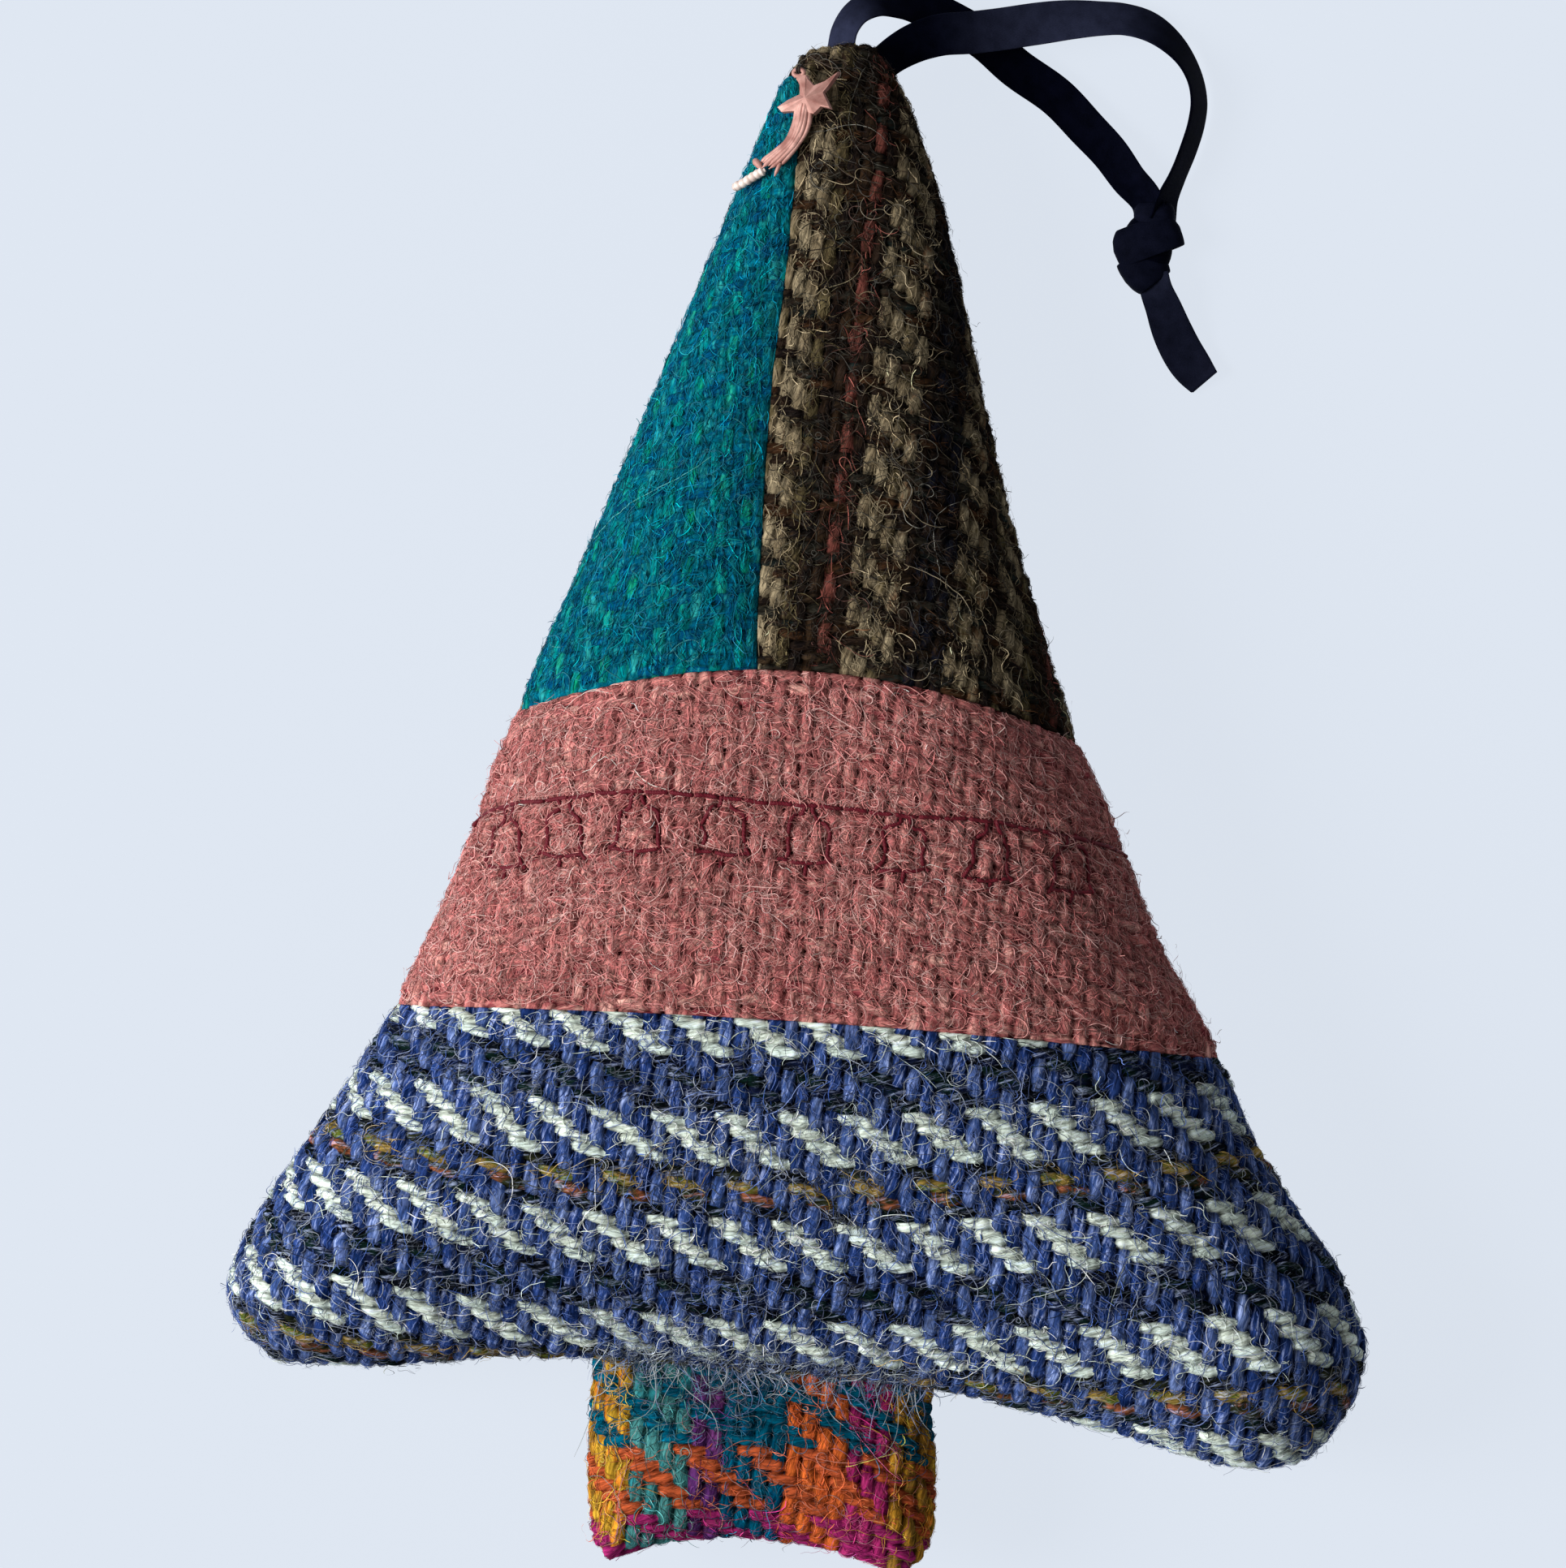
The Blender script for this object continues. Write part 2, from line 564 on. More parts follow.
def drift(random, first, second, size, waves=7):
    """A slow smooth wander over the cloth, about plus or minus one at its most."""
    total = 0
    for _ in range(waves):
        turn = random.uniform(0, 2 * np.pi)
        pace = 2 * np.pi / (size * random.uniform(0.6, 2.2))
        wave = pace * (first * np.cos(turn) + second * np.sin(turn))
        total = total + np.sin(wave + random.uniform(0, 2 * np.pi))
    return total / np.sqrt(waves) / 1.4


def woven(ends, picks, pick_over, crimp, roundness, slim=(0.86, 0.40), plump=(1.04, 0.90), slant=0.0):
    """The cloth's relief where ends and picks cross, and by how much the picks stand over the ends.
    A yarn is plump in the middle of its float and slim where it dives, and a float lies on a slant."""
    def side_of(end, pick):
        return np.where(pick_over(end, pick), -1.0, 1.0)

    def eased(value):
        base = np.floor(value - 0.5)
        share = value - 0.5 - base
        return base, share * share * (3 - 2 * share)

    def yarn(centre, offset, number):
        width = slim[number] + (plump[number] - slim[number]) * np.clip(0.5 + 0.5 * centre / crimp, 0, 1)
        inside = 1 - (2 * offset / width) ** 2
        return centre + roundness * np.where(inside > 0, np.sqrt(np.maximum(inside, 0)), inside * 1.5)

    end, pick = np.floor(ends), np.floor(picks)
    base, share = eased(picks)
    rise = crimp * ((1 - share) * side_of(end, base) + share * side_of(end, base + 1))
    end_face = yarn(rise, ends - end - 0.5, 0)
    base, share = eased(ends)
    rise = -crimp * ((1 - share) * side_of(base, pick) + share * side_of(base + 1, pick))
    pick_face = yarn(rise, picks - pick - 0.5 - slant * np.sin(np.pi / 2 * (ends - pick - 1)), 1)
    return np.maximum(np.maximum(end_face, pick_face), -1.1 * crimp - 0.2 * roundness), pick_face - end_face


def cloth_piece(name, points, normals, ends, picks, pick_over, crimp, roundness, random, dent=0.0, **shape):
    """A woven cloth over a face, with its yarns in relief and its edges turned in at the seams."""
    turn_in = 0.0012
    ends = ends + 0.16 * drift(random, ends, picks, 9) + 0.07 * drift(random, ends, picks, 2.5)
    picks = picks + 0.16 * drift(random, ends, picks, 9) + 0.07 * drift(random, ends, picks, 2.5)
    relief, over = woven(ends, picks, pick_over, crimp, roundness, **shape)
    swollen = relief * (1 + 0.25 * drift(random, ends, picks, 3))
    swollen = swollen + 0.1 * crimp * drift(random, ends, picks, 0.9)
    face = points + normals * (swollen - 0.6 * roundness - dent)[..., None]

    def framed(values):
        return np.pad(values, [(1, 1), (1, 1)] + [(0, 0)] * (values.ndim - 2), mode="edge")

    ring = np.ones((face.shape[0] + 2, face.shape[1] + 2))
    ring[1:-1, 1:-1] = 0
    laid = framed(face) - framed(normals) * (ring * turn_in)[..., None]
    laid[..., 2] = np.maximum(laid[..., 2], table_clearance)
    yarns = np.stack([ends, picks], axis=-1)
    lift = framed(relief - dent) - ring * 0.5 * turn_in
    maps = (("weave", framed(yarns)), ("over", framed(over) * 1000), ("lift", lift * 1000))
    piece = grid_piece(name, laid, share_maps=maps)
    return piece, (points, face, normals, yarns, over)


def sewn_on(piece, finish, slot, fill, *cad_nodes):
    """A padded cloth with its material, on the tree in place of the solids it stands for."""
    piece.data.materials.append(finish)
    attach(piece, "tree")
    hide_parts(*cad_nodes)


def yarn_tints(weave, end_sequence, pick_sequence, end_offset=0, pick_offset=0):
    """The colour of the yarn that shows at each place of a cloth."""
    _, _, _, yarns, over = weave
    numbers = np.floor(yarns).astype(int)
    end_tints = np.array(end_sequence)[(numbers[..., 0] + end_offset) % len(end_sequence), :3]
    pick_tints = np.array(pick_sequence)[(numbers[..., 1] + pick_offset) % len(pick_sequence), :3]
    return np.where((over > 0)[..., None], pick_tints, end_tints)


def sampled(values, rows, columns):
    """Values between a grid's places."""
    row = np.clip(np.floor(rows).astype(int), 0, values.shape[0] - 2)
    column = np.clip(np.floor(columns).astype(int), 0, values.shape[1] - 2)
    up, along = (rows - row)[..., None], (columns - column)[..., None]
    lower = values[row, column] * (1 - along) + values[row, column + 1] * along
    upper = values[row + 1, column] * (1 - along) + values[row + 1, column + 1] * along
    return lower * (1 - up) + upper * up


def fibre_strips(name, place, out, tint, width, random):
    """Thin strips of wool along rows of places, with the way out from the cloth at each place."""
    count, steps = place.shape[:2]
    place[..., 2] = np.maximum(place[..., 2], table_clearance)
    share = np.linspace(0, 1, steps)
    run = unit(np.gradient(place, axis=1))
    roll = random.normal(0, 0.5, (count, 1, 1))
    facing = unit(out * np.cos(roll) + np.cross(run, out) * np.sin(roll))
    sideways = unit(np.cross(facing, run))
    thick = width * random.uniform(0.7, 1.3, (count, 1)) * (0.35 + 0.65 * np.sin(np.pi * (0.12 + 0.8 * share)))
    half = sideways * thick[..., None] / 2
    edges = np.stack([place - half, place + half], axis=1)
    tint = np.concatenate([np.clip(tint, 0, 0.85), np.ones((count, 1))], axis=1)
    laid = np.repeat(np.repeat(tint, 2, axis=0)[:, None], steps, axis=1)
    piece = grid_piece(name, edges.reshape(-1, steps, 3), share_maps=(("fibre", laid),), strips=True)
    piece.data.materials.append(loose_wool)
    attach(piece, "tree")
    return piece


def fuzz_piece(name, weave, tints, random, count, reach, width, curl, stray, steps, along_yarn, paler,
               pale_tint, upright=False, spread=0.55):
    """Loose wool fibres that curl over a cloth's face, some with ends that stand off it."""
    points, face, normals, yarns, over = weave
    rows, columns = face.shape[:2]
    across_step = np.linalg.norm(np.gradient(points, axis=1), axis=-1)
    up_step = np.linalg.norm(np.gradient(points, axis=0), axis=-1)
    tries = 6 * count
    row = random.uniform(0, rows - 1.01, tries)
    column = random.uniform(0, columns - 1.01, tries)
    here = (row.astype(int), column.astype(int))
    length = reach * random.lognormal(0, 0.45, tries)
    lengthwise = np.where((over[here] > 0) & (not upright), 0.0, np.pi / 2) + random.normal(0, 0.28, tries)
    heading = np.where(random.random(tries) < along_yarn, lengthwise, random.uniform(0, 2 * np.pi, tries))
    heading = heading + np.pi * random.integers(0, 2, tries)
    share = np.linspace(0, 1, steps + 1)
    bend = curl * random.normal(0, 1, (tries, 1)) * share * 2
    wiggle = curl * random.normal(0, 0.9, (tries, 1)) * np.sin(
        random.uniform(2, 7, (tries, 1)) * share + random.uniform(0, 6, (tries, 1)))
    turn = heading[:, None] + bend + wiggle
    pace = (length / steps)[:, None]
    walk_row = row[:, None] + np.cumsum(np.sin(turn) * pace, axis=1) / up_step[here][:, None]
    walk_column = column[:, None] + np.cumsum(np.cos(turn) * pace, axis=1) / across_step[here][:, None]
    inside = (walk_row > 0) & (walk_row < rows - 1) & (walk_column > 0) & (walk_column < columns - 1)
    inside = inside.all(1)
    even = random.random(tries) < across_step[here] / np.percentile(across_step, 99)
    chosen = np.flatnonzero(inside & even)[:count]
    walk_row, walk_column = walk_row[chosen], walk_column[chosen]
    place = sampled(face, walk_row, walk_column)
    out = unit(sampled(normals, walk_row, walk_column))
    height = random.exponential(stray, (len(chosen), 1)) * share ** random.uniform(0.8, 2.5, (len(chosen), 1))
    height = height + random.uniform(0.00001, 0.00007, (len(chosen), 1)) + width * 0.4
    start = (row[chosen].astype(int), column[chosen].astype(int))
    light = random.lognormal(0.0, spread, (len(chosen), 1))
    mixed = paler * random.random((len(chosen), 1)) ** 1.5
    tint = tints[start] * light * (1 - mixed) + np.array(pale_tint[:3]) * mixed
    return fibre_strips(name, place + out * height[..., None], out, tint, width, random)


def shaded(tree, tint, shade):
    """A colour made darker or lighter by a shade."""
    grey = add_node(tree, "CombineColor", {0: shade, 1: shade, 2: shade}).outputs[0]
    return blended(tree, 1.0, tint, grey, "MULTIPLY")


loose_wool, tree, shader = new_finish("loose_wool_fibre", 0.9, Specular_IOR_Level=0.03)
fibre_tint = add_node(tree, "Attribute", attribute_name="fibre").outputs[0]
fibre_places = add_node(tree, "TexCoord").outputs[3]
fibre_grain = add_node(tree, "TexNoise", {"Vector": fibre_places, "Scale": 3000.0}).outputs[0]
fibre_tint = shaded(tree, fibre_tint, remapped(tree, fibre_grain, 0.3, 0.7, 0.75, 1.2))
tree.links.new(fibre_tint, shader.inputs["Base Color"])


def brush_up(name, weave, tints, random, wisps, curls, long_ones, paler, pale_tint, wisp_reach=0.0009,
             loose=0.8, slot="blue_tweed", **lay):
    """Short wisps all over a cloth, fewer curling fibres, and a few long ones."""
    made = [
        fuzz_piece(name + "_wisps", weave, tints, random, wisps, wisp_reach, 0.00006, 0.35, 0.00008, 5, loose,
                   0.4 * paler, pale_tint, **lay),
        fuzz_piece(name + "_curls", weave, tints, random, curls, 0.0028, 0.00005, 1.5, 0.00022, 18, 0.15,
                   min(1, 1.8 * paler), pale_tint),
    ]
    if long_ones:
        made.append(fuzz_piece(
            name + "_long_fibres", weave, tints, random, long_ones, 0.0075, 0.00005, 2.6, 0.0003, 60, 0.1, 1.0,
            pale_tint, spread=0.2,
        ))


def noise(tree, place, scale, detail, roughness):
    inputs = {"Vector": place, "Scale": scale, "Detail": detail, "Roughness": roughness}
    return add_node(tree, "TexNoise", inputs).outputs[0]


def yarn_colours(tree, number, sequence, offset):
    """The colour of each yarn by its number, from a repeating sequence."""
    count = len(sequence)
    place = sum_of(tree, "DIVIDE", sum_of(tree, "ADD", number, offset + 0.5), float(count))
    place = sum_of(tree, "FRACT", place)
    ramp = add_node(tree, "ValToRGB", {0: place})
    ramp.color_ramp.interpolation = "CONSTANT"
    stops = ramp.color_ramp.elements
    while len(stops) < count:
        stops.new(0.5)
    for index in range(count):
        stops[index].position = index / count
    for index, tint in enumerate(sequence):
        stops[index].color = tint
    return ramp.outputs[0]


def tweed_finish(name, end_sequence, pick_sequence, end_offset=0, pick_offset=0, end_second=None,
                 pick_second=None, heather=0.5, fleck=None, fleck_share=0.3, fleck_run=(1.0, 1.0),
                 streak_low=0.4, streak_high=1.6, deep=0.1, lift_low=-0.1, lift_high=0.42, edge=0.45,
                 slant=0.0, hair=None, hair_share=0.5, gap=None):
    """Woollen yarns, each spun from two tints, streaked along their length and dark where they dip and
    along their sides."""
    finish, tree, shader = new_finish(name, 0.95, Specular_IOR_Level=0.02)
    laid = add_node(tree, "UVMap", uv_map="weave").outputs[0]
    weave = add_node(tree, "SeparateXYZ", {0: laid})
    ends, picks = weave.outputs[0], weave.outputs[1]
    over = add_node(tree, "Attribute", attribute_name="over").outputs[2]
    lift = add_node(tree, "Attribute", attribute_name="lift").outputs[2]
    ragged = sum_of(tree, "SUBTRACT", noise(tree, laid, 5.0, 5.0, 0.75), 0.5)
    over = remapped(tree, sum_of(tree, "ADD", over, times(tree, ragged, 0.9)), -0.06, 0.06)
    # Fibres run along each yarn, on a slant from its twist.
    streaks, tints, sides = [], [], []
    for along, across, sequence, second, offset, lean in (
        (picks, ends, end_sequence, end_second, end_offset, 0),
        (ends, picks, pick_sequence, pick_second, pick_offset, slant),
    ):
        number = sum_of(tree, "FLOOR", across)
        apart = times(tree, number, 3.7)
        lay = add_node(tree, "CombineXYZ", {
            0: sum_of(tree, "MULTIPLY_ADD", along, 0.6, times(tree, across, 2.8)),
            1: times(tree, along, 0.4), 2: apart,
        }).outputs[0]
        streaks.append(noise(tree, lay, 1.5, 4.0, 0.7))
        wave = sum_of(tree, "SUBTRACT", along, sum_of(tree, "ADD", number, 1.0))
        wave = sum_of(tree, "SINE", times(tree, wave, math.pi / 2))
        centre = sum_of(tree, "MULTIPLY_ADD", wave, float(lean), 0.5)
        aside = sum_of(tree, "SUBTRACT", sum_of(tree, "FRACT", across), centre)
        sides.append(remapped(tree, sum_of(tree, "ABSOLUTE", aside), 0.28, 0.5, 1.0, edge))
        tint = yarn_colours(tree, number, sequence, offset)
        if second:
            slow = add_node(tree, "CombineXYZ", {0: times(tree, along, 0.45), 1: apart, 2: across})
            share = noise(tree, slow.outputs[0], 1.0, 3.0, 0.7)
            share = remapped(tree, share, 0.62 - 0.3 * heather, 0.74 - 0.3 * heather)
            tint = blended(tree, share, tint, yarn_colours(tree, number, second, offset))
        tints.append(tint)
    tint = blended(tree, over, *tints)
    streak = add_node(tree, "SeparateColor", {0: blended(tree, over, *streaks)}).outputs[0]
    bright = remapped(tree, streak, 0.37, 0.63, streak_low, streak_high)
    side = add_node(tree, "SeparateColor", {0: blended(tree, over, *sides)}).outputs[0]
    bright = times(tree, bright, side)
    if hair:
        tint = blended(tree, remapped(tree, streak, 0.53, 0.66, 0.0, hair_share), tint, hair)
    patch = noise(tree, laid, 0.55, 3.0, 0.6)
    bright = times(tree, bright, remapped(tree, patch, 0.3, 0.7, 0.78, 1.22))
    if fleck:
        spotted = add_node(tree, "CombineXYZ", {
            0: times(tree, ends, fleck_run[0]), 1: times(tree, picks, fleck_run[1]),
        }).outputs[0]
        spots = noise(tree, spotted, 2.3, 3.0, 0.7)
        tint = blended(tree, remapped(tree, spots, 0.5, 0.68, 0.0, fleck_share), tint, fleck)
    shade = sum_of(tree, "ADD", lift, times(tree, ragged, 0.2))
    if gap:
        tint = blended(tree, remapped(tree, shade, lift_low, lift_high, 0.0, 1.0), gap, tint)
    shade = times(tree, bright, remapped(tree, shade, lift_low, lift_high, deep, 1.1))
    tree.links.new(shaded(tree, tint, shade), shader.inputs["Base Color"])
    bumped(tree, shader, streak, 0.8, 0.00014)
    return finish


def twill_over(end, pick):
    """Two-and-two twill: each pick passes over two ends, a step further right on the next pick down."""
    return np.mod(end - pick, 4) < 2


end_pitch = 0.00119
pick_pitch = 0.00098
cloth_step = 0.00017


def level(value):
    return lambda rows: np.full_like(np.asarray(rows, float), value)


# The pale groups of picks sag in the middle, as the padding stretches the cloth. Each row gives a
# place across and down on the front, in millimetres, and the number of picks down to it.
pick_places = (
    (-30, -17.3, 0), (0, -17.3, 0), (15, -17.0, 0), (-32, -24.2, 8), (-23, -25.2, 8), (-8, -25.6, 8),
    (0, -25.4, 8), (8, -25.4, 8), (16, -23.7, 8), (21, -22.7, 8), (27, -22.7, 8), (-32, -32.7, 16),
    (-25, -33.1, 16), (-8, -34.1, 16), (1.5, -34.4, 16), (11, -33.7, 16), (16.5, -32.7, 16),
    (22.5, -32, 16), (27, -30.8, 16), (32.6, -30.9, 16), (-34, -40, 24), (-22, -40.8, 24),
    (-13.5, -41.6, 24), (2, -41.4, 24), (7, -41, 24), (17, -40.8, 24), (22, -40.6, 24),
    (27, -40.2, 24), (32, -40, 24), (37, -39.1, 24),
)
random = np.random.default_rng(11)
points, normals = cloth_grid(body_face, 0.0, waist_row, level(-1.0), level(1.0), cloth_step)
points, normals = points[::-1], normals[::-1]
down = (arc(points, [1, 2], 0) + arc(points, [1], 0)) / 2
along = counted_from(arc(points, [0, 2], 1), points, 0)
found = []
for x, y, _ in pick_places:
    gaps = np.hypot(points[..., 0] - x / 1000, points[..., 1] - y / 1000)
    found.append(np.unravel_index(gaps.argmin(), gaps.shape))


def pick_terms(length, x):
    x = x / 0.04
    picks = length / pick_pitch
    return [np.ones_like(x), x, x**2, x**3, picks, picks * x, picks * x**2]


terms = np.array([pick_terms(down[place], points[place][0]) for place in found])
weights, *_ = np.linalg.lstsq(terms, np.array([row[2] for row in pick_places], float), rcond=None)
picks = sum(weight * term for weight, term in zip(weights, pick_terms(down, points[..., 0])))
order = slice(None, None, -1)
blue_cloth, blue_weave = cloth_piece(
    "blue_tweed_cloth", points[order], normals[order], (along / end_pitch)[order], picks[order],
    twill_over, 0.00017, 0.00028, random, slant=0.16, slim=(0.80, 0.36), plump=(1.00, 0.84),
)
pale, pale_shade = colour(222, 232, 216), colour(206, 220, 208)
black, navy = colour(9, 13, 21), colour(18, 26, 54)
dark_green, olive, mustard = colour(12, 32, 28), colour(44, 48, 30), colour(150, 124, 62)
moss, russet = colour(92, 104, 40), colour(150, 88, 60)
blue_ends = colours((52, 76, 134), (38, 62, 122), (58, 82, 138), (44, 68, 128))
blue_second = colours((98, 118, 168), (16, 38, 86), (86, 104, 154), (20, 44, 94))
blue_picks = [
    pale, pale_shade, pale, pale_shade, black, dark_green, navy, black,
    pale_shade, pale, pale, pale_shade, black, mustard, olive, black,
]
second_picks = [
    pale_shade, pale, pale, pale_shade, navy, black, dark_green, dark_green,
    pale, pale_shade, pale_shade, pale, olive, moss, russet, dark_green,
]
blue_finish = tweed_finish(
    "blue_tweed_wool", blue_ends, blue_picks, pick_offset=2, end_second=blue_second, pick_second=second_picks,
    slant=0.16, hair=colour(168, 180, 214), hair_share=0.5, edge=0.3,
)
sewn_on(blue_cloth, blue_finish, "blue_tweed", 0.85, "blue_panel", "body_stuffing")
brush_up(
    "blue_fuzz", blue_weave, yarn_tints(blue_weave, blue_ends, blue_picks, pick_offset=2), random,
    11000, 3000, 50, paler=0.45, pale_tint=(0.42, 0.46, 0.53), spread=0.42,
)

# Pink tweed round the middle
# A soft, heavily brushed tweed in heathered dusty rose, its yarns half hidden under the fuzz.
random = np.random.default_rng(12)
points, normals = cloth_grid(body_face, waist_row, shoulder_row, level(-1.0), level(1.0), cloth_step)
down, along = cloth_lengths(points)
along = counted_from(along, points, 0)
# The stitch drawn on it: a line across, and eight bells that hang from it by short necks.
bell_places = (
    (-24.2, -1.98, 0.72), (-19.9, -0.87, 0.85), (-14.2, -0.17, 1.0), (-7.7, -0.06, 1.0),
    (-1.34, -0.33, 1.0), (6.0, -0.58, 1.0), (12.6, -0.93, 0.95), (18.9, -1.5, 0.85),
)
top_line = (
    (-27.3, -3.6), (-25.9, -2.35), (-24.2, -1.6), (-21.5, -1.1), (-19.2, -0.7), (-16.5, -0.2), (-14.2, 0.0),
    (-10.7, 0.0), (-8.0, -0.1), (-4.9, -0.3), (-1.1, -0.35), (2.0, -0.45), (5.1, -0.7), (7.8, -0.75),
    (10.5, -0.7), (12.8, -0.8), (15.1, -1.15), (17.8, -1.5), (20.1, -1.85), (22.4, -2.5), (24.2, -3.4),
)
bell_side = (
    (0.42, 0.05), (0.42, -0.70), (0.85, -0.95), (1.30, -1.35), (1.48, -2.0), (1.52, -3.0), (1.64, -3.8),
    (2.05, -4.3),
)
stitch_lines = [np.array(top_line)]
for x, y, wide in bell_places:
    wobble = random.normal(0, 0.13, (4, len(bell_side), 2))
    left = np.array([(-a * wide, b) for a, b in bell_side]) + wobble[0]
    right = np.array([(a * wide, b) for a, b in bell_side]) + wobble[1]
    foot_line = np.array([(-1.9 * wide, -4.2), (-0.7, -4.35), (0.6, -4.3), (1.9 * wide, -4.1)])
    foot_line = foot_line + wobble[2, :4] * 0.6
    clapper = np.array([(0.1, -4.35), (-0.05, -5.3)]) + wobble[3, :2] * 0.6
    stitch_lines += [part + (x, y) for part in (left, right, foot_line, clapper)]
stitch_paths = [even_route(np.pad(line / 1000, ((0, 0), (0, 1))), 0.00012)[:, :2] for line in stitch_lines]


def kd_of(places):
    """A search tree over places, for the nearest one to another."""
    tree = kdtree.KDTree(len(places))
    for number, place in enumerate(places):
        tree.insert(place, number)
    tree.balance()
    return tree


stitch_tree = kd_of([(x, y, 0) for path in stitch_paths for x, y in path])
gaps = np.array([stitch_tree.find((x, y, 0))[2] for x, y in points[..., :2].reshape(-1, 2).tolist()])
dent = 0.00028 * np.exp(-((gaps.reshape(points.shape[:2]) / 0.00038) ** 2))
pink_cloth, pink_weave = cloth_piece(
    "pink_tweed_cloth", points, normals, along / 0.00116, down / 0.00108, twill_over, 0.00015, 0.00028, random,
    dent=dent, slant=0.1,
)
pink_ends = colours((184, 110, 107), (166, 94, 92))
pink_picks = colours((192, 120, 114), (172, 100, 98))
pale_pinks, deep_pinks = colours((216, 160, 148), (202, 140, 130)), colours((128, 56, 62), (214, 162, 148))
pink_finish = tweed_finish(
    "pink_tweed_wool", pink_ends, pink_picks, end_second=pale_pinks, pick_second=deep_pinks,
    fleck=colour(128, 60, 58), fleck_share=0.4, streak_low=0.45, streak_high=1.55, deep=0.5,
    gap=colour(104, 24, 36), edge=0.6,
)
sewn_on(pink_cloth, pink_finish, "pink_tweed", 0.85, "pink_panel")
brush_up(
    "pink_fuzz", pink_weave, yarn_tints(pink_weave, pink_ends, pink_picks), random, 15000, 3600, 60,
    paler=0.5, pale_tint=(0.78, 0.52, 0.47), wisp_reach=0.0011, loose=0.55, slot="pink_tweed",
)

# The thread itself is dark red. Each stitch sinks where it goes down into the cloth.
face_tree = kd_of([(x, y, 0) for x, y in pink_weave[1][..., :2].reshape(-1, 2).tolist()])
face_heights = pink_weave[1][..., 2].ravel()


def thread_piece(name, lines, diameter, finish, body, slot, *cad_nodes, swells=None, rounding=1, rings=()):
    """Thread or wire along lines, with a round section, swollen or slimmed along them."""
    curve = bpy.data.curves.new(name, "CURVE")
    curve.dimensions = "3D"
    curve.use_fill_caps = True
    curve.bevel_depth = diameter / 2
    curve.bevel_resolution = rounding
    for number, line in enumerate(lines):
        spline = curve.splines.new("POLY")
        spline.use_cyclic_u = number in rings
        spline.points.add(len(line) - 1)
        if swells:
            spline.points.foreach_set("radius", np.asarray(swells[number], float))
        padded = np.pad(np.asarray(line, float), ((0, 0), (0, 1)), constant_values=1)
        spline.points.foreach_set("co", padded.ravel())
    guide = bpy.data.objects.new(name + "_line", curve)
    data = bpy.data.meshes.new_from_object(guide)
    bpy.data.objects.remove(guide)
    data.name = name
    data.shade_smooth()
    piece = placed(name, data)
    data.materials.clear()
    data.materials.append(finish)
    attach(piece, body)
    if cad_nodes:
        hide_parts(*cad_nodes)
    return piece


def twisted_thread_finish(name, deep, lit, grain=2600.0):
    """Spun sewing thread, with the slant of its plies in the colour and the bump."""
    finish, tree, shader = new_finish(name, 0.6, Sheen_Weight=0.05, Specular_IOR_Level=0.2)
    where = add_node(tree, "TexCoord").outputs[3]
    twist = {"Vector": where, "Scale": grain, "Distortion": 1.5}
    plies = add_node(tree, "TexWave", twist, bands_direction="DIAGONAL")
    patch = add_node(tree, "TexNoise", {"Vector": where, "Scale": 700.0, "Detail": 3.0})
    tint = blended(tree, times(tree, plies.outputs[1], patch.outputs[0]), deep, lit)
    tree.links.new(tint, shader.inputs["Base Color"])
    bumped(tree, shader, plies.outputs[1], 0.5, 0.00003)
    return finish


red_thread = twisted_thread_finish("dark_red_thread", colour(82, 8, 24), colour(130, 24, 42))
lines = []
for path in stitch_paths:
    path = path[[face_tree.find((x, y, 0))[2] < 0.00025 for x, y in path.tolist()]]
    near = [
        [face_heights[number] for _, number, _ in face_tree.find_n((x, y, 0), 14)] for x, y in path.tolist()
    ]
    height = np.array([np.percentile(values, 70) for values in near])
    height = np.convolve(np.pad(height, 2, mode="edge"), np.ones(5) / 5, mode="valid")
    run = np.arange(len(path)) * 0.00012
    dip = np.abs(np.mod(run / 0.0019 + random.uniform(0, 1), 1) - 0.5) * 0.0019
    height = height + 0.00008 - 0.0003 * np.exp(-((dip / 0.00016) ** 2))
    wander = 0.00004 * np.sin(run / 0.00045 + random.uniform(0, 6))
    lines.append(np.column_stack([path[:, 0], path[:, 1] + wander, height]))
for name, stitched, diameter in (("line_stitch", lines[:1], 0.00036), ("bell_stitch", lines[1:], 0.00034)):
    thread_piece(f"{name}_thread", stitched, diameter, red_thread, "tree", "red_thread", f"decorative_{name}")

# Teal tweed on the left of the crown
# A narrow wedge of teal cloth from the shoulder seam to the left of the tip, with green and aqua
# flecks along its ends.
random = np.random.default_rng(13)


def crown_line(rows):
    return smooth_curve(crown_seam_shares, rows)


points, normals = cloth_grid(body_face, shoulder_row, 0.984, level(-1.0), crown_line, cloth_step)
down, along = cloth_lengths(points)
along = along - along[:, -1:] + points[:, -1:, 0] + 0.006


def herringbone_over(end, pick):
    """Two-and-two twill whose slant turns back every twelve ends."""
    turned = np.mod(end, 24)
    turned = np.where(turned < 12, turned, 23 - turned)
    return np.mod(turned - pick, 4) < 2


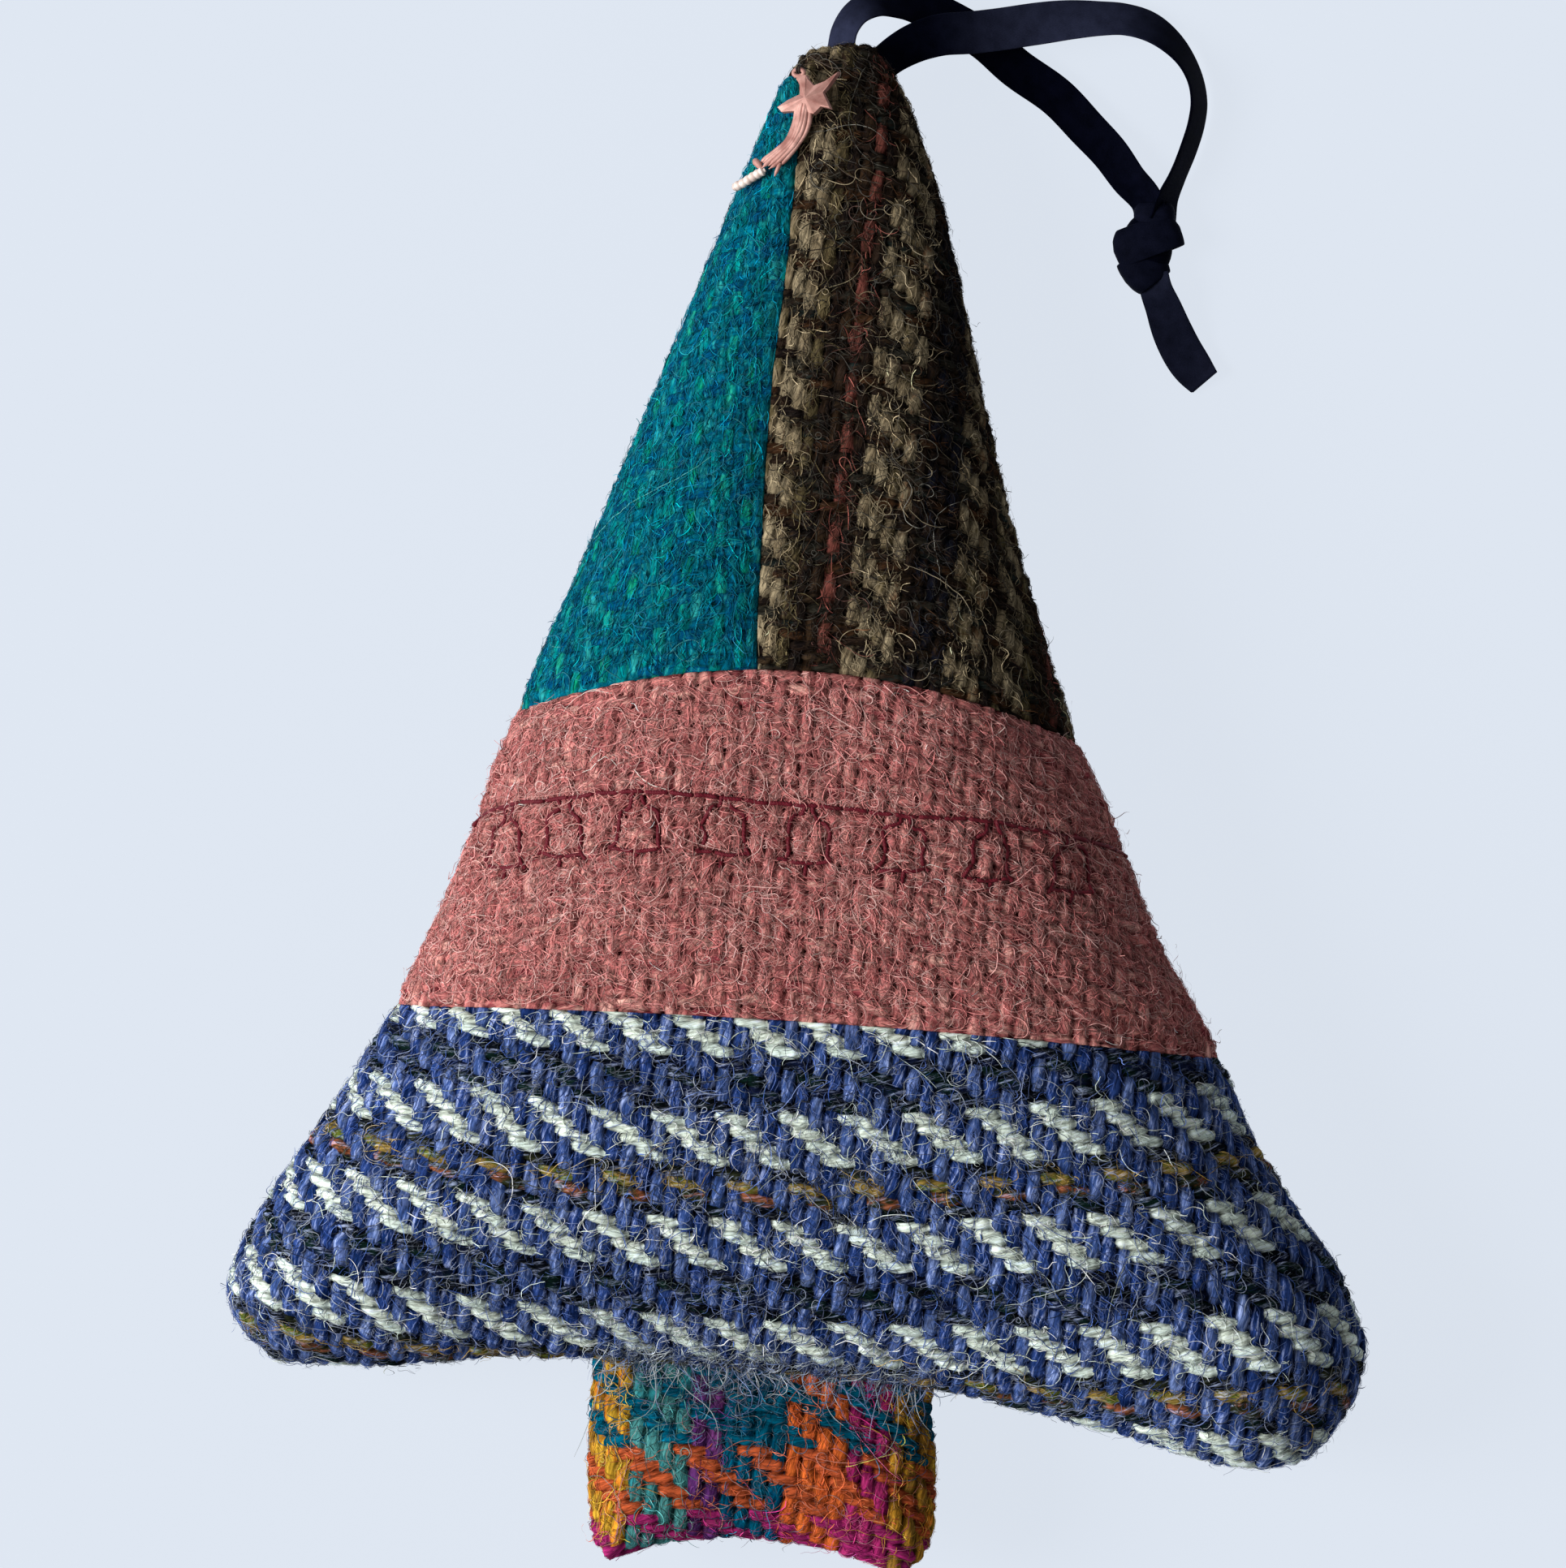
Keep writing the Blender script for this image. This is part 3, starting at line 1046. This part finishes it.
teal_cloth, teal_weave = cloth_piece(
    "teal_tweed_cloth", points, normals, along / 0.00088, down / 0.00092, herringbone_over, 0.00009, 0.00014,
    random, slim=(0.7, 0.6), plump=(1.05, 0.95),
)
teal_ends = colours((0, 104, 118), (0, 122, 122), (0, 90, 114), (0, 112, 118), (0, 98, 118))
teal_second = colours((0, 136, 132), (30, 150, 124), (0, 74, 110), (10, 138, 100), (40, 150, 150))
teal_picks = colours((0, 84, 112), (0, 70, 106), (0, 92, 114))
teal_finish = tweed_finish(
    "teal_tweed_wool", teal_ends, teal_picks, end_second=teal_second, heather=0.4,
    fleck=colour(40, 158, 150), fleck_share=0.6, fleck_run=(1.0, 0.35), streak_low=0.5, streak_high=1.45,
    deep=0.42, lift_high=0.24, edge=0.6,
)
sewn_on(teal_cloth, teal_finish, "teal_tweed", 0.85, "teal_panel")
brush_up(
    "teal_fuzz", teal_weave, yarn_tints(teal_weave, teal_ends, teal_picks), random, 5200, 220, 6,
    paler=0.2, pale_tint=(0.10, 0.40, 0.38), loose=0.9, slot="teal_tweed", upright=True,
)

# Brown tweed on the crown
# A checked tweed: taupe flecks in upright columns on near-black brown, with one broken line of
# reddish brown down the middle. It wraps over the tip.
random = np.random.default_rng(14)
points, normals = cloth_grid(body_face, shoulder_row, 1.0, crown_line, level(1.0), cloth_step)
down, along = cloth_lengths(points)
along = counted_from(along, points, -0.0002)
# The ends spread a little downwards, and the one rust end leans to the left.
along = along + 0.0032 * (down / down.max() - 0.5)
brown_cloth, brown_weave = cloth_piece(
    "brown_tweed_cloth", points, normals, along / 0.00100, down / 0.00096, twill_over, 0.00015, 0.00026, random,
    slant=0.1, slim=(0.88, 0.34), plump=(1.12, 0.74),
)
taupe, taupe_light, olive_taupe = colour(122, 108, 84), colour(142, 128, 102), colour(86, 76, 52)
umber, soot, rust, night = colour(38, 28, 22), colour(23, 18, 17), colour(112, 62, 54), colour(18, 20, 30)
brown_ends = [
    taupe, taupe_light, taupe, olive_taupe, soot, umber, rust, umber, taupe, taupe_light, taupe, taupe_light,
    umber, night, soot, night, taupe, taupe_light, taupe, soot,
]
brown_picks = [umber, soot, colour(40, 38, 32), umber, colour(58, 38, 24)]
brown_second = [
    olive_taupe, taupe_light, taupe_light, umber, umber, colour(50, 36, 24), colour(80, 46, 40), soot,
    taupe_light, taupe, olive_taupe, colour(128, 96, 70), soot, umber, night, umber, taupe_light, olive_taupe,
    colour(110, 84, 60), umber,
]
brown_finish = tweed_finish(
    "brown_tweed_wool", brown_ends, brown_picks, end_offset=6, end_second=brown_second,
    pick_second=[soot, colour(54, 42, 30), umber, colour(30, 38, 36), soot],
    fleck=colour(58, 44, 30), fleck_share=0.55, fleck_run=(0.5, 0.3), deep=0.12, slant=0.1, edge=0.65,
)
sewn_on(brown_cloth, brown_finish, "brown_tweed", 0.85, "brown_panel")
brush_up(
    "brown_fuzz", brown_weave, yarn_tints(brown_weave, brown_ends, brown_picks, end_offset=6), random,
    6500, 900, 22, paler=0.15, pale_tint=(0.30, 0.29, 0.25), loose=0.7, slot="brown_tweed",
)

# Brown tweed back
# The back is one piece of the same brown tweed, sewn to the front all round.
random = np.random.default_rng(15)


def back_face(across, row):
    return body_face(across, row, side=-1)


points, normals = cloth_grid(back_face, 0.0, 1.0, level(1.0), level(-1.0), 0.00036)
down, along = cloth_lengths(points)
start = [np.interp(0, row[::-1], length[::-1]) for row, length in zip(points[..., 0], along)]
along = along - np.stack(start)[:, None]
back_cloth, back_weave = cloth_piece(
    "back_tweed_cloth", points, normals, along / 0.00115, down / 0.00105, twill_over, 0.00012, 0.00020, random,
)
sewn_on(back_cloth, brown_finish, "brown_tweed", 0.85, "back_panel")
brush_up(
    "back_fuzz", back_weave, yarn_tints(back_weave, brown_ends, brown_picks, end_offset=6), random,
    6000, 900, 30, paler=0.2, pale_tint=(0.34, 0.33, 0.29), slot="brown_tweed",
)

# Trunk
# The trunk is a small flat cushion of bright checked tweed, turned up into the hem and sewn there.
trunk_length = 0.0152
trunk_half_width = 0.0134
trunk_front_depth = 0.0055
trunk_back_depth = 0.0050
trunk_roundness = 0.0080
trunk_hollow = 0.0023
trunk_outline_shares = (
    (0.00, 0.82, 0.82), (0.06, 0.90, 0.93), (0.18, 0.95, 1.01), (0.45, 0.985, 1.03), (1.00, 1.01, 0.99),
)
hem_line = body_plan(2 * side_steps - 1, 0)


def hem_at(x):
    return np.interp(x, hem_line[:, 0], hem_line[:, 1])


def trunk_plan(across, row):
    """Places on the seam plane on the trunk, whose rows run from its bottom to the hem."""
    across, row = np.broadcast_arrays(np.asarray(across, float), np.asarray(row, float))
    left = smooth_curve([line[:2] for line in trunk_outline_shares], row)
    right = smooth_curve([(line[0], line[2]) for line in trunk_outline_shares], row)
    x = trunk_half_width * (-left + (left + right) * (across + 1) / 2)
    bottom = hem_at(0) - trunk_length + trunk_hollow * (1 - across**2) * (1 - row)
    return np.stack([x, bottom + (hem_at(x) - bottom) * row], axis=-1)


trunk_sides = (
    trunk_plan(-1, 3 * side_steps), trunk_plan(1, 3 * side_steps), trunk_plan(2 * side_steps - 1, 0),
)


def trunk_face(across, row, side=1):
    across = np.clip(across, edge_margin - 1, 1 - edge_margin)
    places = trunk_plan(across, np.maximum(row, 0.0005))
    depth = trunk_front_depth if side == 1 else trunk_back_depth
    # The trunk is pinched where it is sewn into the hem.
    pinch = np.clip((1.0 - np.broadcast_to(row, len(places))) / 0.40, 0, 1)
    depth = depth * (0.25 + 0.75 * pinch * pinch * (3 - 2 * pinch))
    points, normals = padded_face(places, trunk_sides, trunk_roundness, depth, side, seam_level(places))
    points[:, :2] += tree_place
    return points, normals


gold, late_gold = colour(188, 146, 44), colour(180, 128, 40)
sea, deep_teal = colour(70, 132, 130), colour(0, 82, 106)
purple, orange, magenta = colour(78, 38, 92), colour(184, 84, 40), colour(140, 32, 86)
check_ends = (
    [gold] * 3 + [sea] * 4 + [purple] * 2 + [deep_teal] * 4 + [orange] * 4 + [magenta] * 3 + [late_gold] * 3
)
check_seconds = (
    [colour(200, 120, 36)] * 3 + [colour(36, 110, 116)] * 4 + [colour(118, 60, 120)] * 2
    + [colour(0, 64, 96)] * 4 + [colour(204, 100, 44)] * 4 + [colour(170, 48, 104)] * 3
    + [colour(140, 104, 44)] * 3
)
check_picks = [deep_teal] * 5 + [colour(170, 78, 44)] * 5 + [colour(150, 36, 96)] * 5 + [deep_teal] * 5
check_finish = tweed_finish(
    "check_tweed_wool", check_ends, check_picks, end_offset=13, end_second=check_seconds, deep=0.14, slant=0.08,
)
for name, side, nodes in (
    ("trunk_front", 1, ("trunk_front", "trunk_stuffing")), ("trunk_back", -1, ("trunk_back",)),
):
    random = np.random.default_rng(16 + side)
    points, normals = cloth_grid(
        lambda across, row: trunk_face(across, row, side), 0.0, 1.35, level(-1.0 * side), level(1.0 * side),
        cloth_step,
    )
    down = arc(points[::-1], [1, 2], 0)[::-1]
    heights = points[:, :, 1]
    top = np.array([np.interp(-0.0441, column, length) for column, length in zip(heights.T, down.T)])
    along = arc(points, [0, 2], 1) * side
    middle = np.array([
        np.interp(-0.00045, row[::side], length[::side]) for row, length in zip(points[..., 0], along)
    ])
    piece, trunk_weave = cloth_piece(
        name + "_cloth", points, normals, (along - middle[:, None]) / 0.00119, (down - top - 0.0016) / 0.00105,
        twill_over, 0.00017, 0.00030, random, slant=0.08,
    )
    sewn_on(piece, check_finish, "check_tweed", 0.8, *nodes)
    brush_up(
        name + "_fuzz", trunk_weave, yarn_tints(trunk_weave, check_ends, check_picks, end_offset=13), random,
        2600, 420, 10, paler=0.25, pale_tint=(0.60, 0.42, 0.38), slot="check_tweed",
    )
    if side == 1:
        front_weave = trunk_weave

# Grey-blue fibres of the brushed hem hang over the top of the trunk.
random = np.random.default_rng(18)
near_hem = np.abs(blue_weave[1][..., 0]) < 0.016
near_hem &= blue_weave[1][..., 1] < tree_place[1] + 0.0040
covered = np.concatenate([blue_weave[1][near_hem], front_weave[1][::2, ::2].reshape(-1, 3)])
cover_tree = kd_of([(x, y, 0) for x, y, _ in covered.tolist()])
count = 520
share = np.linspace(0, 1, 11)
length = 0.0024 * random.lognormal(0, 0.4, (count, 1))
heading = -np.pi / 2 + random.normal(0, 0.5, (count, 1)) + 1.2 * random.normal(0, 1, (count, 1)) * share
heading = heading + 0.9 * random.normal(0, 1, (count, 1)) * np.sin(random.uniform(2, 6, (count, 1)) * share)
x = random.uniform(-0.0150, 0.0104, (count, 1)) + np.cumsum(np.cos(heading) * length / 10, axis=1)
y = hem_at(x[:, :1] - tree_place[0]) + tree_place[1] + random.uniform(0.0002, 0.0022, (count, 1))
y = y + np.cumsum(np.sin(heading) * length / 10, axis=1)
height = np.array([
    max(covered[number][2] for _, number, _ in cover_tree.find_n((*place, 0), 5))
    for place in zip(x.ravel().tolist(), y.ravel().tolist())
]).reshape(x.shape)
height = (np.roll(height, 1, axis=1) + height + np.roll(height, -1, axis=1)) / 3
height[:, [0, -1]] = height[:, [1, -2]]
hanging = np.stack([x, y, height + 0.0001 + random.exponential(0.00012, (count, 1))], axis=-1)
tint = np.array([(0.20, 0.24, 0.36), (0.40, 0.44, 0.46), (0.10, 0.14, 0.26)])[random.integers(0, 3, count)]
tint = tint * random.lognormal(0, 0.3, (count, 1))
outward = np.broadcast_to((0, 0, 1.0), hanging.shape)
hem_fringe = fibre_strips("hem_fringe", hanging, outward, tint, 0.00005, random)

# Seam threads
# The cloths are sewn together from behind, so the seams show only as furrows, with a dark brown
# stitch here and there. The side seam and the trunk are closed by hand with small hidden stitches.
seam_thread = twisted_thread_finish("dark_brown_thread", colour(34, 28, 25), colour(66, 56, 50))


def sunk_stitches(name, places, outward, depth, cad_node, length=0.0020, gap=0.0006):
    """Short stitches along a seam, which dive into the cloth at both their ends."""
    places, outward = np.asarray(places), np.asarray(outward)
    run = np.concatenate([[0], np.cumsum(np.linalg.norm(np.diff(places, axis=0), axis=1))])
    count = max(1, round(run[-1] / (length + gap)))
    share = np.linspace(-1, 1, 9)
    lines = []
    for number in range(count):
        at = (number + 0.5 + share / 2 * length / (length + gap)) * run[-1] / count
        place = np.stack([np.interp(at, run, column) for column in places.T], axis=1)
        out = unit(np.stack([np.interp(at, run, column) for column in outward.T], axis=1))
        lines.append(place - out * (depth + 0.0005 * np.abs(share) ** 3)[:, None])
    thread_piece(name, lines, 0.0002, seam_thread, "tree", "sewing_thread", cad_node)


wide = np.linspace(-0.985, 0.985, 241)
for name, row in (("waist", waist_row), ("shoulder", shoulder_row)):
    places, out = body_face(wide, np.full_like(wide, row))
    sunk_stitches(f"{name}_seam_stitches", places, out, 0.0003, f"{name}_seam_thread")
rows = np.linspace(shoulder_row + 0.005, 0.965, 161)
sunk_stitches("crown_seam_stitches", *body_face(crown_line(rows), rows), 0.0003, "crown_seam_thread")


def seam_edge(sides, drop_of):
    """Places just inside a form's sewn edge, and the way out from it."""
    outline = np.concatenate(sides)
    ahead = np.gradient(outline, axis=0)
    out = unit(np.stack([-ahead[:, 1], ahead[:, 0]], axis=1))
    places = np.column_stack([outline + tree_place, drop_of(outline)])
    return places, np.column_stack([out, np.zeros(len(out))])


left_side, right_side, hem_side, tip_side = body_sides
outline = (left_side[2:-2], tip_side[4:-4], right_side[-3:1:-1], hem_side[-3:1:-1])
sunk_stitches("side_seam_stitches", *seam_edge(outline, seam_level), 0.0004, "side_seam_thread")
left, right, bottom = trunk_sides
outline = (left[left[:, 1] < 0.001][::-1], bottom[3:-3], right[right[:, 1] < 0.001])
places, out = seam_edge(outline, seam_level)
sunk_stitches("trunk_seam_stitches", places, -out, 0.0004, "trunk_seam_thread")
joined = []
for side in (1, -1):
    across = np.linspace(-0.96, 0.96, 121) * side
    places = trunk_plan(across, 1.0)
    row = 1 - 0.0008 / (hem_at(places[:, 0]) - trunk_plan(across, 0.0)[:, 1])
    joined.append(trunk_face(across, row, side))
places, out = (np.concatenate(parts) for parts in zip(*joined))
sunk_stitches("trunk_joining_stitches", places, out, 0.0004, "trunk_joining_thread")

# Shooting star charm
# A small cast charm of rose gold: a star whose tail is a sheaf of fine ridges with a serrated end.
# Its loop hangs on a thread near the tip, and the charm lies on the cloth.
charm_place = np.array((-0.005243, 0.055958, 0.011351))
charm_normal = unit(np.array((-0.394055, 0.141561, 0.908119)))
charm_up = unit(np.array((0, 1, 0)) - charm_normal * charm_normal[1])
charm_right = np.cross(charm_up, charm_normal)
star_thickness = 0.55
star_peak = 0.50
# Places on the charm are in millimetres to the right of its loop and above it.
star_outline = (
    (0.20, -0.45), (0.74, -0.40), (0.95, -0.75), (1.48, -1.23), (2.35, -0.86), (3.42, -0.08), (2.72, -1.22),
    (2.33, -1.74), (3.07, -2.97), (2.29, -2.85), (1.75, -3.45), (0.90, -3.30), (-0.02, -3.28), (-0.95, -3.38),
    (-1.35, -3.00), (-0.55, -2.42), (0.39, -1.95), (0.30, -1.15), (-0.05, -0.75),
)
star_middle = (1.11, -2.30)


def on_charm(places):
    """World places for places on the charm: right, up, and out from it, in millimetres."""
    places = np.asarray(places, float) / 1000
    return charm_place + places @ np.array((charm_right, charm_up, charm_normal))


def cast_metal(name, deep, lit, metallic):
    """Soft cast metal, tarnished in patches and a little pitted."""
    finish, tree, shader = new_finish(name, 0.6, Metallic=metallic)
    where = add_node(tree, "TexCoord").outputs[3]
    tarnish = add_node(tree, "TexNoise", {"Vector": where, "Scale": 900.0, "Detail": 4.0}).outputs[0]
    tint = blended(tree, remapped(tree, tarnish, 0.35, 0.65), deep, lit)
    tree.links.new(tint, shader.inputs["Base Color"])
    tree.links.new(remapped(tree, tarnish, 0.3, 0.7, 0.75, 0.58), shader.inputs["Roughness"])
    bumped(tree, shader, tarnish, 0.5, 0.00006)
    return finish


rose_gold = cast_metal("rose_gold", colour(158, 106, 96), colour(206, 158, 146), 0.35)
bright_end = cast_metal("rubbed_pale_gold", colour(206, 176, 164), colour(246, 230, 220), 0.3)

star = bmesh.new()
bmesh.ops.create_circle(star, cap_ends=True, segments=len(star_outline), radius=1)
star.verts.ensure_lookup_table()
for vertex, (right, up) in zip(star.verts, star_outline):
    vertex.co = (right, up, -star_thickness / 2)
raised = bmesh.ops.extrude_face_region(star, geom=star.faces[:])["geom"]
raised = [item for item in raised if isinstance(item, bmesh.types.BMVert)]
bmesh.ops.translate(star, vec=(0, 0, star_thickness), verts=raised)
top = max(star.faces, key=lambda face: face.calc_center_median().z)
peak = bmesh.ops.poke(star, faces=[top])["verts"][0]
peak.co = (*star_middle, star_thickness / 2 + star_peak)
rim = [edge for edge in star.edges if all(vert.co.z > 0.9 * star_thickness / 2 for vert in edge.verts)]
rim = [edge for edge in rim if peak not in edge.verts]
bmesh.ops.bevel(star, geom=rim, offset=0.07, segments=2, profile=0.5, affect="EDGES", material=-1)
bmesh.ops.recalc_face_normals(star, faces=star.faces[:])
for vertex in star.verts:
    vertex.co = Vector(on_charm(vertex.co))
charm_star = shaped("charm_star", star)
charm_star.data.materials.append(rose_gold)
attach(charm_star, "charm")
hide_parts("charm")

# The tail is a row of fine ridges between its two edges, from the star to the tail's end.
tail_left = (
    (0.62, -2.40, 0.30), (0.28, -2.95, 0.12), (0.14, -4.02, 0.05), (0.00, -4.76, 0.04), (-0.28, -5.58, 0.02),
    (-1.24, -6.44, 0.02), (-2.06, -7.10, 0.02), (-2.55, -7.70, 0.0),
)
tail_right = (
    (1.42, -2.50, 0.30), (1.36, -2.95, 0.12), (1.34, -4.20, 0.05), (1.12, -5.02, 0.04), (0.66, -5.86, 0.02),
    (-0.02, -6.80, 0.02), (-0.68, -7.55, 0.0), (-1.40, -8.05, 0.0),
)
left_edge, right_edge = even_route(tail_left, 0.08), even_route(tail_right, 0.08)
places = np.linspace(0, 1, 90)
left_edge, right_edge = [
    np.stack([np.interp(places, np.linspace(0, 1, len(edge)), column) for column in edge.T], axis=1)
    for edge in (left_edge, right_edge)
]
lines, swells = [], []
for number, side in enumerate((0.0, 0.2, 0.4, 0.6, 0.8, 1.0, 0.3, 0.7)):
    stream = left_edge * (1 - side) + right_edge * side
    stream[:, 2] += 0.24 * (1 - (2 * side - 1) ** 2) - (0.10 if number > 5 else 0)
    stream[:, 0] += 0.035 * np.sin(places * 9 + 2.3 * number)
    reach = (0.97, 0.93, 1.0, 0.94, 0.97, 0.88, 0.9, 0.9)[number]
    kept = places <= reach
    swell = (0.82 if number < 6 else 1.1) * (1 + 0.10 * np.sin(places * 14 + number))
    swell = swell * np.clip((reach - places) / 0.08, 0.25, 1) * np.clip(places / 0.05, 0.4, 1)
    lines.append(on_charm(stream[kept]))
    swells.append(swell[kept])
for stream, swell in (
    (((-2.80, -7.18, 0.05), (-2.50, -7.44, 0.15), (-2.05, -7.80, 0.10)), 1.35),
    (((-0.60, -7.35, 0.10), (-0.78, -7.85, 0.12), (-1.00, -8.36, 0.0)), 0.75),
):
    lines.append(on_charm(even_route(stream, 0.08)))
    share = np.linspace(0, 1, len(lines[-1]))
    swells.append(swell * np.interp(share, (0, 0.2, 0.7, 1), (0.7, 1, 0.9, 0.35)))
turn = np.linspace(0, 2 * np.pi, 33)[:-1]
lines.append(on_charm(np.stack([0.42 * np.cos(turn) + 0.02, 0.27 * np.sin(turn) - 0.22, 0 * turn], axis=1)))
swells.append(np.full(32, 0.80))
thread_piece(
    "charm_tail_and_loop", lines, 0.00044, rose_gold, "charm", "rose_gold", swells=swells, rounding=3,
    rings=(len(lines) - 1,),
)
# The end of the tail is a serrated strip, rubbed bright.
tail_end = ((-1.80, -7.90, 0.10), (-2.60, -8.38, 0.08), (-3.40, -8.90, 0.05), (-4.36, -9.42, 0.0))
serrated = even_route(tail_end, 0.05)
share = np.linspace(0, 1, len(serrated))
swell = 0.86 + 0.16 * np.abs(np.sin(share * np.pi * 6.5))
swell = swell * np.clip(np.minimum(share / 0.08, (1 - share) / 0.04), 0.5, 1)
thread_piece(
    "charm_serrated_end", [on_charm(serrated)], 0.00074, bright_end, "charm", "rose_gold", swells=[swell],
    rounding=3,
)

# Two passes of thread hold the charm's loop to the cloth.
staples = []
for aside in (-0.09, 0.10):
    staple = (
        (aside, -0.23, -1.2), (aside, -0.21, 0.02), (aside, -0.08, 0.24), (aside, 0.12, 0.26),
        (aside, 0.30, 0.08), (aside, 0.38, -1.2),
    )
    staples.append(on_charm(even_route(staple, 0.06)))
thread_piece("charm_thread_passes", staples, 0.00013, seam_thread, "tree", "sewing_thread", "charm_thread")

# Table and light
# A plain pale table, with one broad soft lamp from the upper left and even light from all round.
table = bmesh.new()
bmesh.ops.create_grid(table, x_segments=1, y_segments=1, size=1.5)
table_piece = shaped("table", table)
pale_table, tree, shader = new_finish("pale_table", 0.9)
grain = add_node(tree, "TexNoise", {"Vector": add_node(tree, "TexCoord").outputs[3], "Scale": 40.0})
table_tint = blended(tree, grain.outputs[0], (0.735, 0.795, 0.885, 1), (0.740, 0.800, 0.890, 1))
tree.links.new(table_tint, shader.inputs["Base Color"])
# Seen straight or in the metal, the table is mostly its own pale colour and keeps a faint shadow.
rays = add_node(tree, "LightPath")
seen = sum_of(tree, "MAXIMUM", rays.outputs["Is Camera Ray"], rays.outputs["Is Glossy Ray"])
seen = times(tree, sum_of(tree, "MAXIMUM", seen, rays.outputs["Is Transmission Ray"]), 0.94)
glow = add_node(tree, "Emission", {"Color": table_tint, "Strength": 1.0})
shown = add_node(tree, "MixShader", {0: seen, 1: shader.outputs[0], 2: glow.outputs[0]})
tree.links.new(shown.outputs[0], tree.nodes["Material Output"].inputs["Surface"])
table_piece.data.materials.append(pale_table)

lamp_data = bpy.data.lights.new("window_lamp", "AREA")
lamp_data.shape = "DISK"
lamp_data.size = 0.6
lamp_data.energy = 17
lamp = placed("window_lamp", lamp_data)
lamp_place = Vector((-0.90, -0.06, 0.66))
lamp.location = lamp_place
lamp.rotation_euler = (-lamp_place).to_track_quat("-Z", "Y").to_euler()
world = bpy.data.worlds.new("pale_room")
world.use_nodes = True
backdrop = world.node_tree.nodes["Background"]
backdrop.inputs["Color"].default_value = (0.95, 0.97, 1.0, 1)
# The metal and the satin mirror a paler room than the one that lights them.
rays = add_node(world.node_tree, "LightPath")
room_light = sum_of(world.node_tree, "MULTIPLY_ADD", rays.outputs["Is Glossy Ray"], 0.4, 0.17)
world.node_tree.links.new(room_light, backdrop.inputs["Strength"])
bpy.context.scene.world = world
